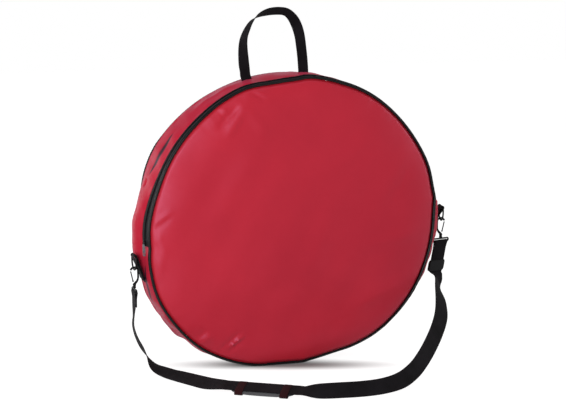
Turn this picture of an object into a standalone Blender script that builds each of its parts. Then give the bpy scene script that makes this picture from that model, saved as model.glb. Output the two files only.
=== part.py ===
"""Padded bag for one bicycle wheel, standing on its edge.

Two round padded faces are sewn to a soft side band, with piping round both
seams. A coil zip runs over the upper half of the front seam, so the upper front
folds down on the chord between its ends. A webbing handle is sewn into the back
seam, and a shoulder strap hangs from a D-ring on each side by swivel hooks.

Metres, +Z up, +Y to the back. The origin is on the flat of the base.
"""

import bmesh
import bpy
import numpy as np

# Shell of the bag
SEAM_RADIUS = 0.350
ARC_HEIGHT = 0.330
DEPTH = 0.112
CROWN = 0.014
PIPING_RADIUS = 0.003
TOUCH_GAP = 0.0003
CLOTH = 0.0010
FOAM = 0.0050
LINING = 0.0008
SIDE_CLOTH = 0.0015
BULGE = 0.010
BULGE_FADE_HEIGHT = 0.070
RING_STEPS = 98
PIPING_SIDES = 6

# Zip
ZIP_LEFT_ANGLE = 182.4
ZIP_RIGHT_ANGLE = 11.6
ZIP_STUB_ANGLE = 2.8
TAPE_WIDTH = 0.0115
TAPE_THICKNESS = 0.0008
TAPE_GAP = 0.0018
ZIP_RISE = 0.005
COIL_RADIUS = 0.0013
COIL_SPACING = 0.0038
SLIDER_LENGTH = 0.0120
SLIDER_WIDTH = 0.0095
SLIDER_PLATE = 0.0012
SLIDER_BRIDGE = 0.0006
SLIDER_CLEARANCE = 0.0010
PULL_LENGTH = 0.030
PULL_WIDTH = 0.0070
PULL_THICKNESS = 0.0016

# Handle
HANDLE_WEBBING = 0.025
HANDLE_THICKNESS = 0.0018
HANDLE_Y = 0.018
FOOT_PLACES = (-0.0988, 0.0384)
FOOT_TOPS = ((-0.1035, 0.0004), (0.0385, 0.0104))

# Side rings and hooks
STRAP_WEBBING = 0.038
STRAP_THICKNESS = 0.0018
RING_HEIGHT = 0.032
RING_WIRE = 0.0020
TAB_WEBBING = 0.034
TAB_LENGTH = 0.060
HOOK_INNER = 0.0065
HOOK_WIRE = 0.0019
HOOK_DROP = 0.034
HOOK_REST = 0.00095
BARREL_RADIUS = 0.0042
BARREL_LENGTH = 0.009
GATE_WIRE = 0.0011
EYE_WIRE = 0.0020
EYE_DROP = 0.052
LOOP_LENGTH = 0.034
TAB_LIFT = 0.0002
LEFT_REACH = 0.0330
LEFT_DROP = 0.0880
LEFT_DEPTH = -0.024
RIGHT_REACH = 0.0312
RIGHT_DROP = 0.0113
RIGHT_DEPTH = -0.008
LEFT_BOW = (-SEAM_RADIUS - LEFT_REACH, LEFT_DEPTH, ARC_HEIGHT - LEFT_DROP)
RIGHT_BOW = (SEAM_RADIUS + RIGHT_REACH, RIGHT_DEPTH, ARC_HEIGHT - RIGHT_DROP)

# Shoulder strap, pad and adjuster
DOUBLED_LENGTH = 0.078
RETURN_TAIL = 0.006
PAD_LENGTH = 0.150
PAD_WIDTH = 0.046
PAD_THICKNESS = 0.0060
PAD_DROP = 0.004
KEEPER_LENGTH = 0.018
KEEPER_WALL = 0.0010
KEEPER_INSET = 0.014
ADJUSTER_LENGTH = 0.026
ADJUSTER_WALL = 0.0035
ADJUSTER_PLATE = 0.0014
PAD_PROFILE_SHARES = [(1.0, 0.35), (0.95, 0.85), (0.86, 1.0), (0.3, 1.0)]
PAD_EDGE_SHARES = [(-1.0, 0.0), (-0.9, -1.0), (0.9, -1.0), (1.0, 0.0), (0.9, 1.0), (-0.9, 1.0)]

# Seam outline: angle in degrees against the share of SEAM_RADIUS. The zip's
# stretch is a true circle, the rest sags on to the floor.
OUTLINE_SHARES = [
    (186, 1.000), (194, 1.028), (204, 1.052), (216, 1.050), (228, 1.040), (240, 1.010),
    (249, 0.984), (256, 0.962), (264, 0.940), (272.5, 0.9355), (277, 0.926), (286, 0.920),
    (296, 0.933), (308, 0.950), (324, 0.958), (342, 0.962), (354, 0.968), (360, 0.973), (365, 0.986), (368.5, 1.000),
]

# Shares of BULGE that the side band swells by, and shares of SEAM_RADIUS that the
# back seam is larger by, against the angle in degrees
SWELL_SHARES = [
    (0, 1.0), (30, 0.8), (60, 0.5), (90, 0.3), (120, 0.5), (150, 0.6), (166, 1.0), (176, 2.1),
    (183, 2.5), (190, 1.6), (198, 0.9), (215, 0.6), (240, 0.5), (262, 0.5), (300, 1.2), (330, 1.2), (360, 1.0),
]
BACK_SHARES = [(0, 0.0), (100, 0.0), (128, 0.015), (148, 0.031), (164, 0.018), (178, 0.004), (192, 0.0), (215, 0.0), (360, 0.0)]
LOWER_BLEND_ANGLE = 22.0

# Free stretches of the strap: centre line, and the way across the webbing. Each was
# drawn for a ring's bow at the place given first, and follows it if the bow moves.
LEFT_ROUTE_BOW = (-0.3830, -0.024, 0.2420)
RIGHT_ROUTE_BOW = (0.3812, -0.008, 0.3187)
STRAP_LEFT_ROUTE = [
    ((-0.3830, -0.0240, 0.1557), (0.0, 1.0, 0.0)),
    ((-0.3860, -0.0240, 0.1300), (0.0, 1.0, 0.0)),
    ((-0.3860, -0.0220, 0.1080), (-0.1, 1.0, -0.1)),
    ((-0.3790, -0.0220, 0.0820), (-0.3, 1.0, -0.2)),
    ((-0.3670, -0.0280, 0.0560), (-0.2, 1.0, -0.3)),
    ((-0.3530, -0.0410, 0.0320), (0.29, 0.94, -0.16)),
    ((-0.3400, -0.0680, 0.0160), (0.6, 0.75, 0.15)),
    ((-0.3230, -0.1030, 0.0110), (0.75, 0.55, 0.3)),
    ((-0.3050, -0.1370, 0.0105), (0.8, 0.42, 0.4)),
    ((-0.2794, -0.1890, 0.0112), (0.77, 0.39, 0.45)),
    ((-0.2600, -0.2290, 0.0125), (0.66, 0.5, 0.45)),
    ((-0.2373, -0.2650, 0.0168), (0.5225, 0.793, 0.31)),
    ((-0.2248, -0.2733, 0.0168), (0.5225, 0.793, 0.31)),
    ((-0.1914, -0.2953, 0.0168), (0.5225, 0.793, 0.31)),
    ((-0.1582, -0.3172, 0.0168), (0.5225, 0.793, 0.31)),
]
STRAP_RIGHT_ROUTE = [
    ((-0.1578, -0.3175, 0.0168), (0.5225, 0.793, 0.31)),
    ((-0.1246, -0.3393, 0.0168), (0.5225, 0.793, 0.31)),
    ((-0.0912, -0.3613, 0.0168), (0.5225, 0.793, 0.31)),
    ((-0.0787, -0.3696, 0.0168), (0.5225, 0.793, 0.31)),
    ((-0.0480, -0.3800, 0.0165), (0.2, 0.65, 0.72)),
    ((-0.0060, -0.3850, 0.0165), (0.0, 0.6, 0.8)),
    ((0.0500, -0.3880, 0.0165), (0.0, 0.6, 0.8)),
    ((0.1010, -0.3800, 0.0172), (-0.1, 0.6, 0.8)),
    ((0.1480, -0.3640, 0.0225), (-0.2, 0.5, 0.8)),
    ((0.1900, -0.3320, 0.0335), (-0.35, 0.4, 0.85)),
    ((0.2250, -0.2950, 0.0480), (-0.5, 0.3, 0.8)),
    ((0.2650, -0.2430, 0.0670), (-0.6, 0.2, 0.7)),
    ((0.3030, -0.1900, 0.0910), (-0.7, 0.1, 0.6)),
    ((0.3310, -0.1440, 0.1160), (-0.8, 0.0, 0.5)),
    ((0.3480, -0.0980, 0.1420), (-0.75, -0.35, 0.4)),
    ((0.3585, -0.0540, 0.1640), (-0.5, -0.8, 0.2)),
    ((0.3640, -0.0330, 0.1745), (-0.5, -0.85, 0.1)),
    ((0.3676, -0.0195, 0.1830), (-0.8, -0.6, 0.1)),
]
# Handle loop: x, height above the top of the seam, and the way across the webbing
SEAM_TOP = ARC_HEIGHT + SEAM_RADIUS
HANDLE_ROUTE = [
    ((-0.1035, 0.0012), (-1.00, 0.00, -0.07)),
    ((-0.1043, 0.0112), (-1.00, 0.00, -0.07)),
    ((-0.1068, 0.0310), (-0.93, 0.37, 0.00)),
    ((-0.1085, 0.0650), (-0.68, 0.75, 0.00)),
    ((-0.1060, 0.0880), (-0.45, 0.90, 0.00)),
    ((-0.0980, 0.1080), (-0.25, 1.00, 0.10)),
    ((-0.0870, 0.1260), (0.00, 1.00, 0.00)),
    ((-0.0710, 0.1390), (0.20, 0.85, -0.35)),
    ((-0.0500, 0.1465), (0.20, 0.70, -0.65)),
    ((-0.0270, 0.1490), (0.05, 0.65, -0.75)),
    ((-0.0050, 0.1465), (-0.20, 0.70, -0.70)),
    ((0.0100, 0.1350), (-0.60, 0.60, -0.45)),
    ((0.0210, 0.1170), (-0.90, 0.30, -0.30)),
    ((0.0290, 0.0930), (-1.00, 0.10, -0.20)),
    ((0.0335, 0.0640), (-1.00, 0.00, -0.15)),
    ((0.0365, 0.0380), (-1.00, 0.00, -0.10)),
    ((0.0378, 0.0212), (-1.00, 0.00, -0.07)),
    ((0.0385, 0.0112), (-1.00, 0.00, -0.07)),
]


def clear_scene():
    for item in list(bpy.data.objects):
        bpy.data.objects.remove(item, do_unlink=True)


def make_material(name, colour, roughness, metallic=0.0):
    """A Principled material with linear colour."""
    material = bpy.data.materials.new(name)
    material.use_nodes = True
    shader = material.node_tree.nodes["Principled BSDF"]
    shader.inputs["Base Color"].default_value = (*colour, 1.0)
    shader.inputs["Roughness"].default_value = roughness
    shader.inputs["Metallic"].default_value = metallic
    return material


def add_mesh(name, bm, material):
    """Close off a bmesh as a named object with its faces pointing out."""
    bmesh.ops.recalc_face_normals(bm, faces=bm.faces)
    if bm.calc_volume(signed=True) < 0:
        bmesh.ops.reverse_faces(bm, faces=bm.faces)
    mesh = bpy.data.meshes.new(name)
    bm.to_mesh(mesh)
    bm.free()
    mesh.materials.append(material)
    item = bpy.data.objects.new(name, mesh)
    bpy.context.scene.collection.objects.link(item)
    return item


def skin(name, sections, material, closed=False):
    """One closed body through rows of like sections, each a closed loop of points."""
    sections = np.asarray(sections, dtype=float)
    bm = bmesh.new()
    rows = [[bm.verts.new(point) for point in section] for section in sections]
    count = len(rows[0])
    pairs = list(zip(rows, rows[1:] + rows[:1])) if closed else list(zip(rows, rows[1:]))
    for first, second in pairs:
        for i in range(count):
            j = (i + 1) % count
            bm.faces.new((first[i], first[j], second[j], second[i]))
    if not closed:
        bm.faces.new(rows[0])
        bm.faces.new(rows[-1])
    return add_mesh(name, bm, material)


def unit(vectors):
    vectors = np.asarray(vectors, dtype=float)
    return vectors / np.linalg.norm(vectors, axis=-1, keepdims=True)


def smooth(rows, steps):
    """A cubic curve through the rows, with the slope at each row set by its neighbours."""
    rows = np.asarray(rows, dtype=float)
    slopes = np.gradient(rows, axis=0)
    share = np.linspace(0.0, 1.0, steps, endpoint=False)[:, None]
    spans = [
        (2 * share**3 - 3 * share**2 + 1) * rows[i]
        + (share**3 - 2 * share**2 + share) * slopes[i]
        + (3 * share**2 - 2 * share**3) * rows[i + 1]
        + (share**3 - share**2) * slopes[i + 1]
        for i in range(len(rows) - 1)
    ]
    return np.vstack(spans + [rows[-1:]])


def across(path, wide):
    """Directions across and through a strap that follows a path."""
    along = unit(np.gradient(path, axis=0))
    wide = unit(wide - along * np.sum(wide * along, axis=1, keepdims=True))
    return wide, np.cross(along, wide)


def ribbon(name, path, wide, width, thickness, material, closed=False):
    """Flat webbing along a path, with its width along the given directions."""
    path = np.asarray(path, dtype=float)
    wide = np.broadcast_to(np.asarray(wide, dtype=float), path.shape)
    wide, through = across(path, wide)
    half, thin = wide * width / 2, through * thickness / 2
    sections = np.stack([path - half - thin, path + half - thin, path + half + thin, path - half + thin], axis=1)
    return skin(name, sections, material, closed)


def wire_sections(path, radii, plane, sides=8, closed=False):
    """Round sections along a path that lies in one plane, given by its normal."""
    path = np.asarray(path, dtype=float)
    if closed:
        along = unit(np.roll(path, -1, axis=0) - np.roll(path, 1, axis=0))
    else:
        along = unit(np.gradient(path, axis=0))
    first = np.broadcast_to(unit(plane), path.shape)
    second = np.cross(along, first)
    turn = np.linspace(0.0, 2 * np.pi, sides, endpoint=False)
    radii = np.broadcast_to(np.asarray(radii, dtype=float), len(path))[:, None, None]
    circle = np.cos(turn)[None, :, None] * first[:, None] + np.sin(turn)[None, :, None] * second[:, None]
    return path[:, None] + radii * circle


def arc(centre, radius, start, end, steps):
    """Points (u, v) on an arc, with angles in degrees."""
    turn = np.radians(np.linspace(start, end, steps))
    return np.stack([centre[0] + radius * np.cos(turn), centre[1] + radius * np.sin(turn)], axis=1)


# Seam outline


def seam_table():
    """Angle, x, z and outward normal of the seam line, one row for each ring step."""
    angles = np.linspace(0.0, 360.0, RING_STEPS, endpoint=False)
    table = smooth(OUTLINE_SHARES, RING_STEPS)
    share = np.interp(angles + 360.0 * (angles < OUTLINE_SHARES[0][0]), table[:, 0], table[:, 1], left=1.0, right=1.0)
    turn = np.radians(angles)
    x = SEAM_RADIUS * share * np.cos(turn)
    z = ARC_HEIGHT + SEAM_RADIUS * share * np.sin(turn)
    z = np.maximum(z, PIPING_RADIUS)
    tangent = unit(np.stack([np.roll(x, -1) - np.roll(x, 1), np.roll(z, -1) - np.roll(z, 1)], axis=1))
    normals = np.stack([tangent[:, 1], -tangent[:, 0]], axis=1)
    normals[z <= PIPING_RADIUS] = (0.0, -1.0)
    return angles, np.stack([x, z], axis=1), normals


SEAM_ANGLES, SEAM_POINTS, SEAM_NORMALS = seam_table()


def seam_at(angles):
    """Seam points and normals at any angles in degrees."""
    angles = np.asarray(angles, dtype=float)
    wrapped = np.append(SEAM_ANGLES, 360.0)
    points = np.vstack([SEAM_POINTS, SEAM_POINTS[:1]])
    normals = np.vstack([SEAM_NORMALS, SEAM_NORMALS[:1]])
    turn = angles % 360.0
    point = np.stack([np.interp(turn, wrapped, points[:, k]) for k in range(2)], axis=1)
    normal = unit(np.stack([np.interp(turn, wrapped, normals[:, k]) for k in range(2)], axis=1))
    return point, normal


def angle_run(start, end):
    """The start, every ring step between, and the end."""
    step = 360.0 / RING_STEPS
    inner = np.arange(np.ceil(start / step), np.floor(end / step) + 1) * step
    inner = inner[(inner > start + step / 10) & (inner < end - step / 10)]
    return np.concatenate([[start], inner, [end]])


# The side band's profile: where the zip zone ends, and how far the band stands out
BAND_FRONT = -DEPTH / 2 + PIPING_RADIUS + TOUCH_GAP
BAND_BACK = -BAND_FRONT
ZIP_BACK = BAND_FRONT + 2 * TAPE_WIDTH + TAPE_GAP


def turned(angles, table):
    """Values of a table of angles and shares at any angles in degrees."""
    table = smooth(table, 4)
    return np.interp(np.asarray(angles, dtype=float) % 360.0, table[:, 0], table[:, 1])


def floor_fade(points):
    """Rises from 0 on the floor to 1 a little above it."""
    height = np.clip(points[:, 1] / BULGE_FADE_HEIGHT, 0.0, 1.0)
    return height**2 * (3 - 2 * height)


def below_zip(angles):
    """0 along the zip, rising to 1 over a few degrees below its ends."""
    low = (np.asarray(angles, dtype=float) - ZIP_LEFT_ANGLE - ZIP_STUB_ANGLE) % 360.0
    span = (ZIP_RIGHT_ANGLE - ZIP_LEFT_ANGLE - 2 * ZIP_STUB_ANGLE) % 360.0
    near = np.where(low < span, np.minimum(low, span - low), 0.0)
    share = np.clip(near / LOWER_BLEND_ANGLE, 0.0, 1.0)
    return share**2 * (3 - 2 * share)


def band_offset(y, angles, points):
    """Distance of the band's outside from the seam line at depth y."""
    fade = floor_fade(points)
    swell = BULGE * turned(angles, SWELL_SHARES) * fade
    whole = (y - BAND_FRONT) / (BAND_BACK - BAND_FRONT)
    behind = (y - ZIP_BACK) / (BAND_BACK - ZIP_BACK)
    if behind < 0:
        with_zip = ZIP_RISE * (y - BAND_FRONT) / (ZIP_BACK - BAND_FRONT)
    else:
        with_zip = ZIP_RISE * (1 - behind) + swell * np.sin(np.pi * behind)
    plain = 1.25 * swell * np.sin(np.pi * whole) ** 0.7 if 0 < whole < 1 else 0.0
    lower = below_zip(angles)
    back = SEAM_RADIUS * turned(angles, BACK_SHARES) * max(behind, 0.0)
    return PIPING_RADIUS + with_zip * (1 - lower) * fade + plain * lower + back


def band_sections(angles, depths, thickness, lift=0.0):
    """Closed sections of a thin band: outer points front to back, then inner ones."""
    angles = np.asarray(angles, dtype=float)
    points, normals = seam_at(angles)
    outer = []
    for y in depths:
        offset = band_offset(y, angles, points) + lift
        x = points[:, 0] + normals[:, 0] * offset
        z = np.maximum(points[:, 1] + normals[:, 1] * offset, 0.0)
        outer.append(np.stack([x, np.full(len(x), y), z], axis=1))
    outer = np.stack(outer, axis=1)
    inward = np.stack([normals[:, 0], np.zeros(len(normals)), normals[:, 1]], axis=1)
    inner = outer - inward[:, None] * thickness
    inner[..., 2] = np.where(outer[..., 2] == 0.0, np.maximum(inner[..., 2], thickness), inner[..., 2])
    return np.concatenate([outer, inner[:, ::-1]], axis=1)


def ring_sections(angles, y, offset, radius, sides):
    """Round sections of a bead that follows the seam."""
    points, normals = seam_at(angles)
    offset = np.asarray(offset, dtype=float).reshape(-1, 1)
    turn = np.linspace(0.0, 2 * np.pi, sides, endpoint=False)
    reach = offset + radius * np.cos(turn)
    x = points[:, 0:1] + normals[:, 0:1] * reach
    z = points[:, 1:2] + normals[:, 1:2] * reach
    return np.stack([x, np.broadcast_to(y + radius * np.sin(turn), x.shape), z], axis=2)


# Faces of the bag


def fold_line():
    """Middle and upward normal of the chord between the zip's ends."""
    ends, _ = seam_at([ZIP_LEFT_ANGLE, ZIP_RIGHT_ANGLE])
    along = unit(ends[1] - ends[0])
    return ends.mean(axis=0), np.array([-along[1], along[0]])


def panel(name, side, start, thickness, material, part=None):
    """One layer of a face. start is its depth behind the outside of the cloth, and
    part is upper or lower where the fold line cuts it."""
    rim_share = [0.0, 0.45, 0.8, 1.0]
    growth = SEAM_RADIUS * turned(SEAM_ANGLES, BACK_SHARES) if side > 0 else np.zeros(RING_STEPS)
    rim = SEAM_POINTS + SEAM_NORMALS * (growth - PIPING_RADIUS - TOUCH_GAP)[:, None]
    centre = np.array([0.0, ARC_HEIGHT])
    bm = bmesh.new()
    layers = []
    for depth in (start, start + thickness):
        y = side * (DEPTH / 2 + CLOTH / 2 + CROWN - depth)
        rows = [[bm.verts.new((centre[0], y, centre[1]))]]
        for share in rim_share[1:]:
            y = side * (DEPTH / 2 + CLOTH / 2 + CROWN * (1 - share**2) - depth)
            ring = centre + (rim - centre) * share
            rows.append([bm.verts.new((x, y, z)) for x, z in ring])
        for i in range(RING_STEPS):
            j = (i + 1) % RING_STEPS
            bm.faces.new((rows[0][0], rows[1][i], rows[1][j]))
            for inner, outer in zip(rows[1:], rows[2:]):
                bm.faces.new((inner[i], outer[i], outer[j], inner[j]))
        layers.append(rows[-1])
    for i in range(RING_STEPS):
        j = (i + 1) % RING_STEPS
        bm.faces.new((layers[0][i], layers[0][j], layers[1][j], layers[1][i]))
    if part:
        middle, up = fold_line()
        keep = 1.0 if part == "upper" else -1.0
        edge = middle + up * keep * TOUCH_GAP
        cut = bmesh.ops.bisect_plane(
            bm,
            geom=list(bm.verts) + list(bm.edges) + list(bm.faces),
            plane_co=(edge[0], 0.0, edge[1]),
            plane_no=(-keep * up[0], 0.0, -keep * up[1]),
            clear_outer=True,
        )
        rim_edges = [item for item in cut["geom_cut"] if isinstance(item, bmesh.types.BMEdge)]
        bmesh.ops.edgeloop_fill(bm, edges=rim_edges)
    return add_mesh(name, bm, material)


def make_shell(red, black, foam, lining):
    """Faces, side band and piping."""
    foam_start = CLOTH + TOUCH_GAP
    lining_start = foam_start + FOAM + TOUCH_GAP
    for node, side, part in (("back", 1, None), ("front", -1, "lower"), ("front", -1, "upper")):
        end = f"_{part}" if part else ""
        panel(f"{node}_panel{end}", side, 0.0, CLOTH, red, part)
        panel(f"{node}_foam{end}", side, foam_start, FOAM, foam, part)
        panel(f"{node}_lining{end}", side, lining_start, LINING, lining, part)

    lower_start = ZIP_LEFT_ANGLE + ZIP_STUB_ANGLE
    lower_end = 360.0 + ZIP_RIGHT_ANGLE - ZIP_STUB_ANGLE
    gap = np.degrees(TOUCH_GAP / SEAM_RADIUS)
    full = np.linspace(BAND_FRONT, BAND_BACK, 6)
    behind = np.linspace(ZIP_BACK + TOUCH_GAP, BAND_BACK, 5)
    skin("gusset_lower", band_sections(angle_run(lower_start, lower_end), full, SIDE_CLOTH), red)
    upper = angle_run(ZIP_RIGHT_ANGLE - ZIP_STUB_ANGLE + gap, lower_start - gap)
    skin("gusset_upper", band_sections(upper, behind, SIDE_CLOTH), red)

    whole = SEAM_ANGLES
    growth = SEAM_RADIUS * turned(whole, BACK_SHARES)
    skin("back_piping", ring_sections(whole, DEPTH / 2, growth, PIPING_RADIUS, PIPING_SIDES), black, closed=True)
    lower = angle_run(ZIP_LEFT_ANGLE + gap, 360.0 + ZIP_RIGHT_ANGLE - gap)
    upper = angle_run(ZIP_RIGHT_ANGLE + gap, ZIP_LEFT_ANGLE - gap)
    skin("front_piping_lower", ring_sections(lower, -DEPTH / 2, 0.0, PIPING_RADIUS, PIPING_SIDES), black)
    skin("front_piping_upper", ring_sections(upper, -DEPTH / 2, 0.0, PIPING_RADIUS, PIPING_SIDES), black)


# Zip: the zone's surface is a cone, so the slider travels on one circle
ZIP_SLOPE = np.arctan2(ZIP_RISE, ZIP_BACK - BAND_FRONT)
ZIP_MIDDLE = (BAND_FRONT + ZIP_BACK) / 2
TAPE_FRONT = (BAND_FRONT, ZIP_MIDDLE - TAPE_GAP / 2)
TAPE_REAR = (ZIP_MIDDLE + TAPE_GAP / 2, ZIP_BACK)
TAPE_SINK = -0.0002


def coil_place(sign):
    """Depth and offset of one coil's centre line, on its tape beside the zip's middle."""
    y = ZIP_MIDDLE + sign * COIL_SPACING / 2 * np.cos(ZIP_SLOPE)
    surface = PIPING_RADIUS + ZIP_RISE * (y - BAND_FRONT) / (ZIP_BACK - BAND_FRONT) + TAPE_SINK
    return y, surface + TOUCH_GAP + COIL_RADIUS / np.cos(ZIP_SLOPE)


def slider_frame(angle):
    """Origin on the zip's middle line, with directions along, across and out."""
    point, normal = seam_at([angle])
    surface = PIPING_RADIUS + ZIP_RISE / 2 + TAPE_SINK
    x, z = point[0] + normal[0] * surface
    radial = np.array([normal[0][0], 0.0, normal[0][1]])
    along = np.array([-radial[2], 0.0, radial[0]])
    back = np.array([0.0, 1.0, 0.0])
    wide = back * np.cos(ZIP_SLOPE) + radial * np.sin(ZIP_SLOPE)
    out = radial * np.cos(ZIP_SLOPE) - back * np.sin(ZIP_SLOPE)
    return np.array([x, ZIP_MIDDLE, z]), along, wide, out


def block_profile(name, frame, profile, lengths, material):
    """A profile (across, out) swept straight along the zip."""
    origin, along, wide, out = frame
    sections = [[origin + along * s + wide * u + out * v for u, v in profile] for s in lengths]
    return skin(name, sections, material)


def make_zip(tape, coil, metal, tab_colour):
    """Tapes, coils, end stubs, slider and pull tab."""
    gap = np.degrees(TOUCH_GAP / SEAM_RADIUS)
    fold = angle_run(ZIP_RIGHT_ANGLE + gap, ZIP_LEFT_ANGLE - gap)
    long = angle_run(ZIP_RIGHT_ANGLE - ZIP_STUB_ANGLE + gap, ZIP_LEFT_ANGLE + ZIP_STUB_ANGLE - gap)
    skin("zip_tape_front", band_sections(fold, TAPE_FRONT, TAPE_THICKNESS, TAPE_SINK), tape)
    skin("zip_tape_rear", band_sections(long, TAPE_REAR, TAPE_THICKNESS, TAPE_SINK), tape)
    for name, angles, sign in (("zip_coil_front", fold, -1), ("zip_coil_rear", long, 1)):
        y, offset = coil_place(sign)
        skin(name, ring_sections(angles, y, offset, COIL_RADIUS, PIPING_SIDES), coil)
    stubs = {
        "zip_end_left": (ZIP_LEFT_ANGLE + gap, ZIP_LEFT_ANGLE + ZIP_STUB_ANGLE - gap),
        "zip_end_right": (ZIP_RIGHT_ANGLE - ZIP_STUB_ANGLE + gap, ZIP_RIGHT_ANGLE - gap),
    }
    for name, (start, end) in stubs.items():
        skin(name, band_sections([start, end], TAPE_FRONT, TAPE_THICKNESS, TAPE_SINK), tape)

    frame = slider_frame(ZIP_LEFT_ANGLE + ZIP_STUB_ANGLE / 2)
    half = SLIDER_WIDTH / 2
    bridge = SLIDER_BRIDGE / 2
    coil_top = TOUCH_GAP + 2 * COIL_RADIUS + TOUCH_GAP
    roof = coil_top + SLIDER_CLEARANCE / 2
    top = roof + SLIDER_PLATE
    below = -TAPE_THICKNESS - SLIDER_CLEARANCE
    flange = half - SLIDER_PLATE
    profile = [
        (-half, SLIDER_CLEARANCE), (-half, top), (half, top), (half, SLIDER_CLEARANCE),
        (flange, SLIDER_CLEARANCE), (flange, roof), (bridge, roof), (bridge, below),
        (half, below), (half, below - SLIDER_PLATE), (-half, below - SLIDER_PLATE),
        (-half, below), (-bridge, below), (-bridge, roof), (-flange, roof), (-flange, SLIDER_CLEARANCE),
    ]
    block_profile("zip_slider", frame, profile, (-SLIDER_LENGTH / 2, SLIDER_LENGTH / 2), metal)

    pull_base = top + 2 * TOUCH_GAP
    tab = PULL_WIDTH / 2
    outline = [(-tab, pull_base), (tab, pull_base), (tab, pull_base + PULL_THICKNESS), (-tab, pull_base + PULL_THICKNESS)]
    block_profile("zip_pull", frame, outline, (0.0, PULL_LENGTH), tab_colour)


def make_handle(webbing):
    """Grab handle: two feet sewn on the side band, and the loop that folds over them."""
    rows = smooth([(x, HANDLE_Y, SEAM_TOP + z, *wide) for (x, z), wide in HANDLE_ROUTE], 3)
    ribbon("handle_webbing", rows[:, :3], rows[:, 3:], HANDLE_WEBBING, HANDLE_THICKNESS, webbing)

    along = unit(np.subtract(FOOT_TOPS[1], FOOT_TOPS[0]))
    half = HANDLE_THICKNESS / 2
    for side, x, top in zip(("left", "right"), FOOT_PLACES, FOOT_TOPS):
        edges = x + HANDLE_WEBBING * np.array([-0.5, 0.5])
        angles = np.degrees(np.arccos(edges / SEAM_RADIUS))
        top = (top[0], SEAM_TOP + top[1])
        points, normals = seam_at(angles)
        offsets = band_offset(HANDLE_Y, angles, points) + 2 * TOUCH_GAP
        sections = []
        for sign, point, normal, offset in zip((-1, 1), points, normals, offsets):
            low = point + normal * offset
            high = np.array(top) + sign * along * HANDLE_WEBBING / 2
            corners = (
                (low[0], HANDLE_Y - half, low[1]), (low[0], HANDLE_Y + half, low[1]),
                (high[0], HANDLE_Y + half, high[1]), (high[0], HANDLE_Y - half, high[1]),
            )
            sections.append(corners)
        skin(f"handle_foot_{side}", sections, webbing)


# Side rings, hooks and strap ends. Each is drawn in a frame that starts on the ring's
# bow: u away from the bag, v to the back, w up.


class Side:
    """Left or right set of fittings."""

    def __init__(self, name, bow, sign, yaw=0.0, turn=0.0, lean=0.0):
        self.name = name
        self.bow = np.asarray(bow)
        self.sign = sign
        self.yaw = np.radians(yaw)
        self.wide = np.array([np.sin(self.yaw), np.cos(self.yaw), 0.0])
        self.turn = np.radians(turn)
        self.lean = np.radians(lean)

    def place(self, points):
        """Fitting points to world points."""
        points = np.asarray(points, dtype=float)
        out = self.sign * np.array([np.cos(self.yaw), -np.sin(self.yaw), 0.0])
        up = np.array([0.0, 0.0, 1.0])
        return self.bow + points[..., 0:1] * out + points[..., 1:2] * self.wide + points[..., 2:3] * up

    def place_turned(self, points):
        """As place, but turned about the hook's long axis and leaning from the eye down."""
        points = np.array(points, dtype=float)
        spin = np.array([
            [np.cos(self.turn), np.sin(self.turn), 0.0],
            [-np.sin(self.turn), np.cos(self.turn), 0.0],
            [0.0, 0.0, 1.0],
        ])
        points = points @ spin.T
        below = np.minimum(points[..., 2] + EYE_DROP, 0.0)
        points[..., 0] += below * np.tan(self.lean)
        return self.place(points)


def surface_x(side, z):
    """Outermost x of the side band under a tab at height z."""
    angles = np.linspace(140.0, 240.0, 101) if side.sign < 0 else np.linspace(-60.0, 40.0, 101)
    points, normals = seam_at(angles)
    reaches = []
    for y in side.bow[1] + TAB_WEBBING * np.linspace(-0.5, 0.5, 5):
        outside = points + normals * band_offset(y, angles, points)[:, None]
        order = np.argsort(outside[:, 1])
        reaches.append(side.sign * np.interp(z, outside[order, 1], outside[order, 0]))
    return side.sign * max(reaches)


def make_ring(side, metal):
    """D-ring: a straight bar, two short sides and a round bow."""
    half = STRAP_WEBBING / 2 + 2 * RING_WIRE
    bend = half
    bow = arc((0.0, bend), bend, 180.0, 360.0, 13)
    corner = 2 * RING_WIRE
    top = RING_HEIGHT - corner
    right = arc((half - corner, top), corner, 0.0, 90.0, 4)
    left = arc((corner - half, top), corner, 90.0, 180.0, 4)
    outline = np.vstack([bow, right, left])
    path = side.place([(0.0, v, w) for v, w in outline])
    plane = np.cross(side.wide, (0.0, 0.0, 1.0))
    sections = wire_sections(path, RING_WIRE, plane, 8, closed=True)
    skin(f"d_ring_{side.name}", sections, metal, closed=True)


def make_tab(side, webbing):
    """Webbing tab, sewn down the side band and folded over the ring's bar."""
    bar = np.array([side.bow[0], side.bow[2] + RING_HEIGHT])
    clear = RING_WIRE + 3 * TOUCH_GAP + STRAP_THICKNESS / 2
    lie = TAB_LIFT + STRAP_THICKNESS / 2
    layer = STRAP_THICKNESS + 2 * TOUCH_GAP
    heights = bar[1] - TAB_LENGTH * np.array([1.0, 0.8, 0.6])
    inner = [(surface_x(side, z) + side.sign * lie, z) for z in heights]
    over = arc(bar, clear, 0.0, 215.0, 11) if side.sign < 0 else arc(bar, clear, 180.0, -35.0, 11)
    outer = [(x + side.sign * layer, z) for x, z in inner[1:]][::-1]
    path = np.array(inner + list(over) + outer)
    path = np.stack([path[:, 0], np.full(len(path), side.bow[1]), path[:, 1]], axis=1)
    ribbon(f"side_tab_{side.name}", path, side.wide, TAB_WEBBING, STRAP_THICKNESS, webbing)


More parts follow.
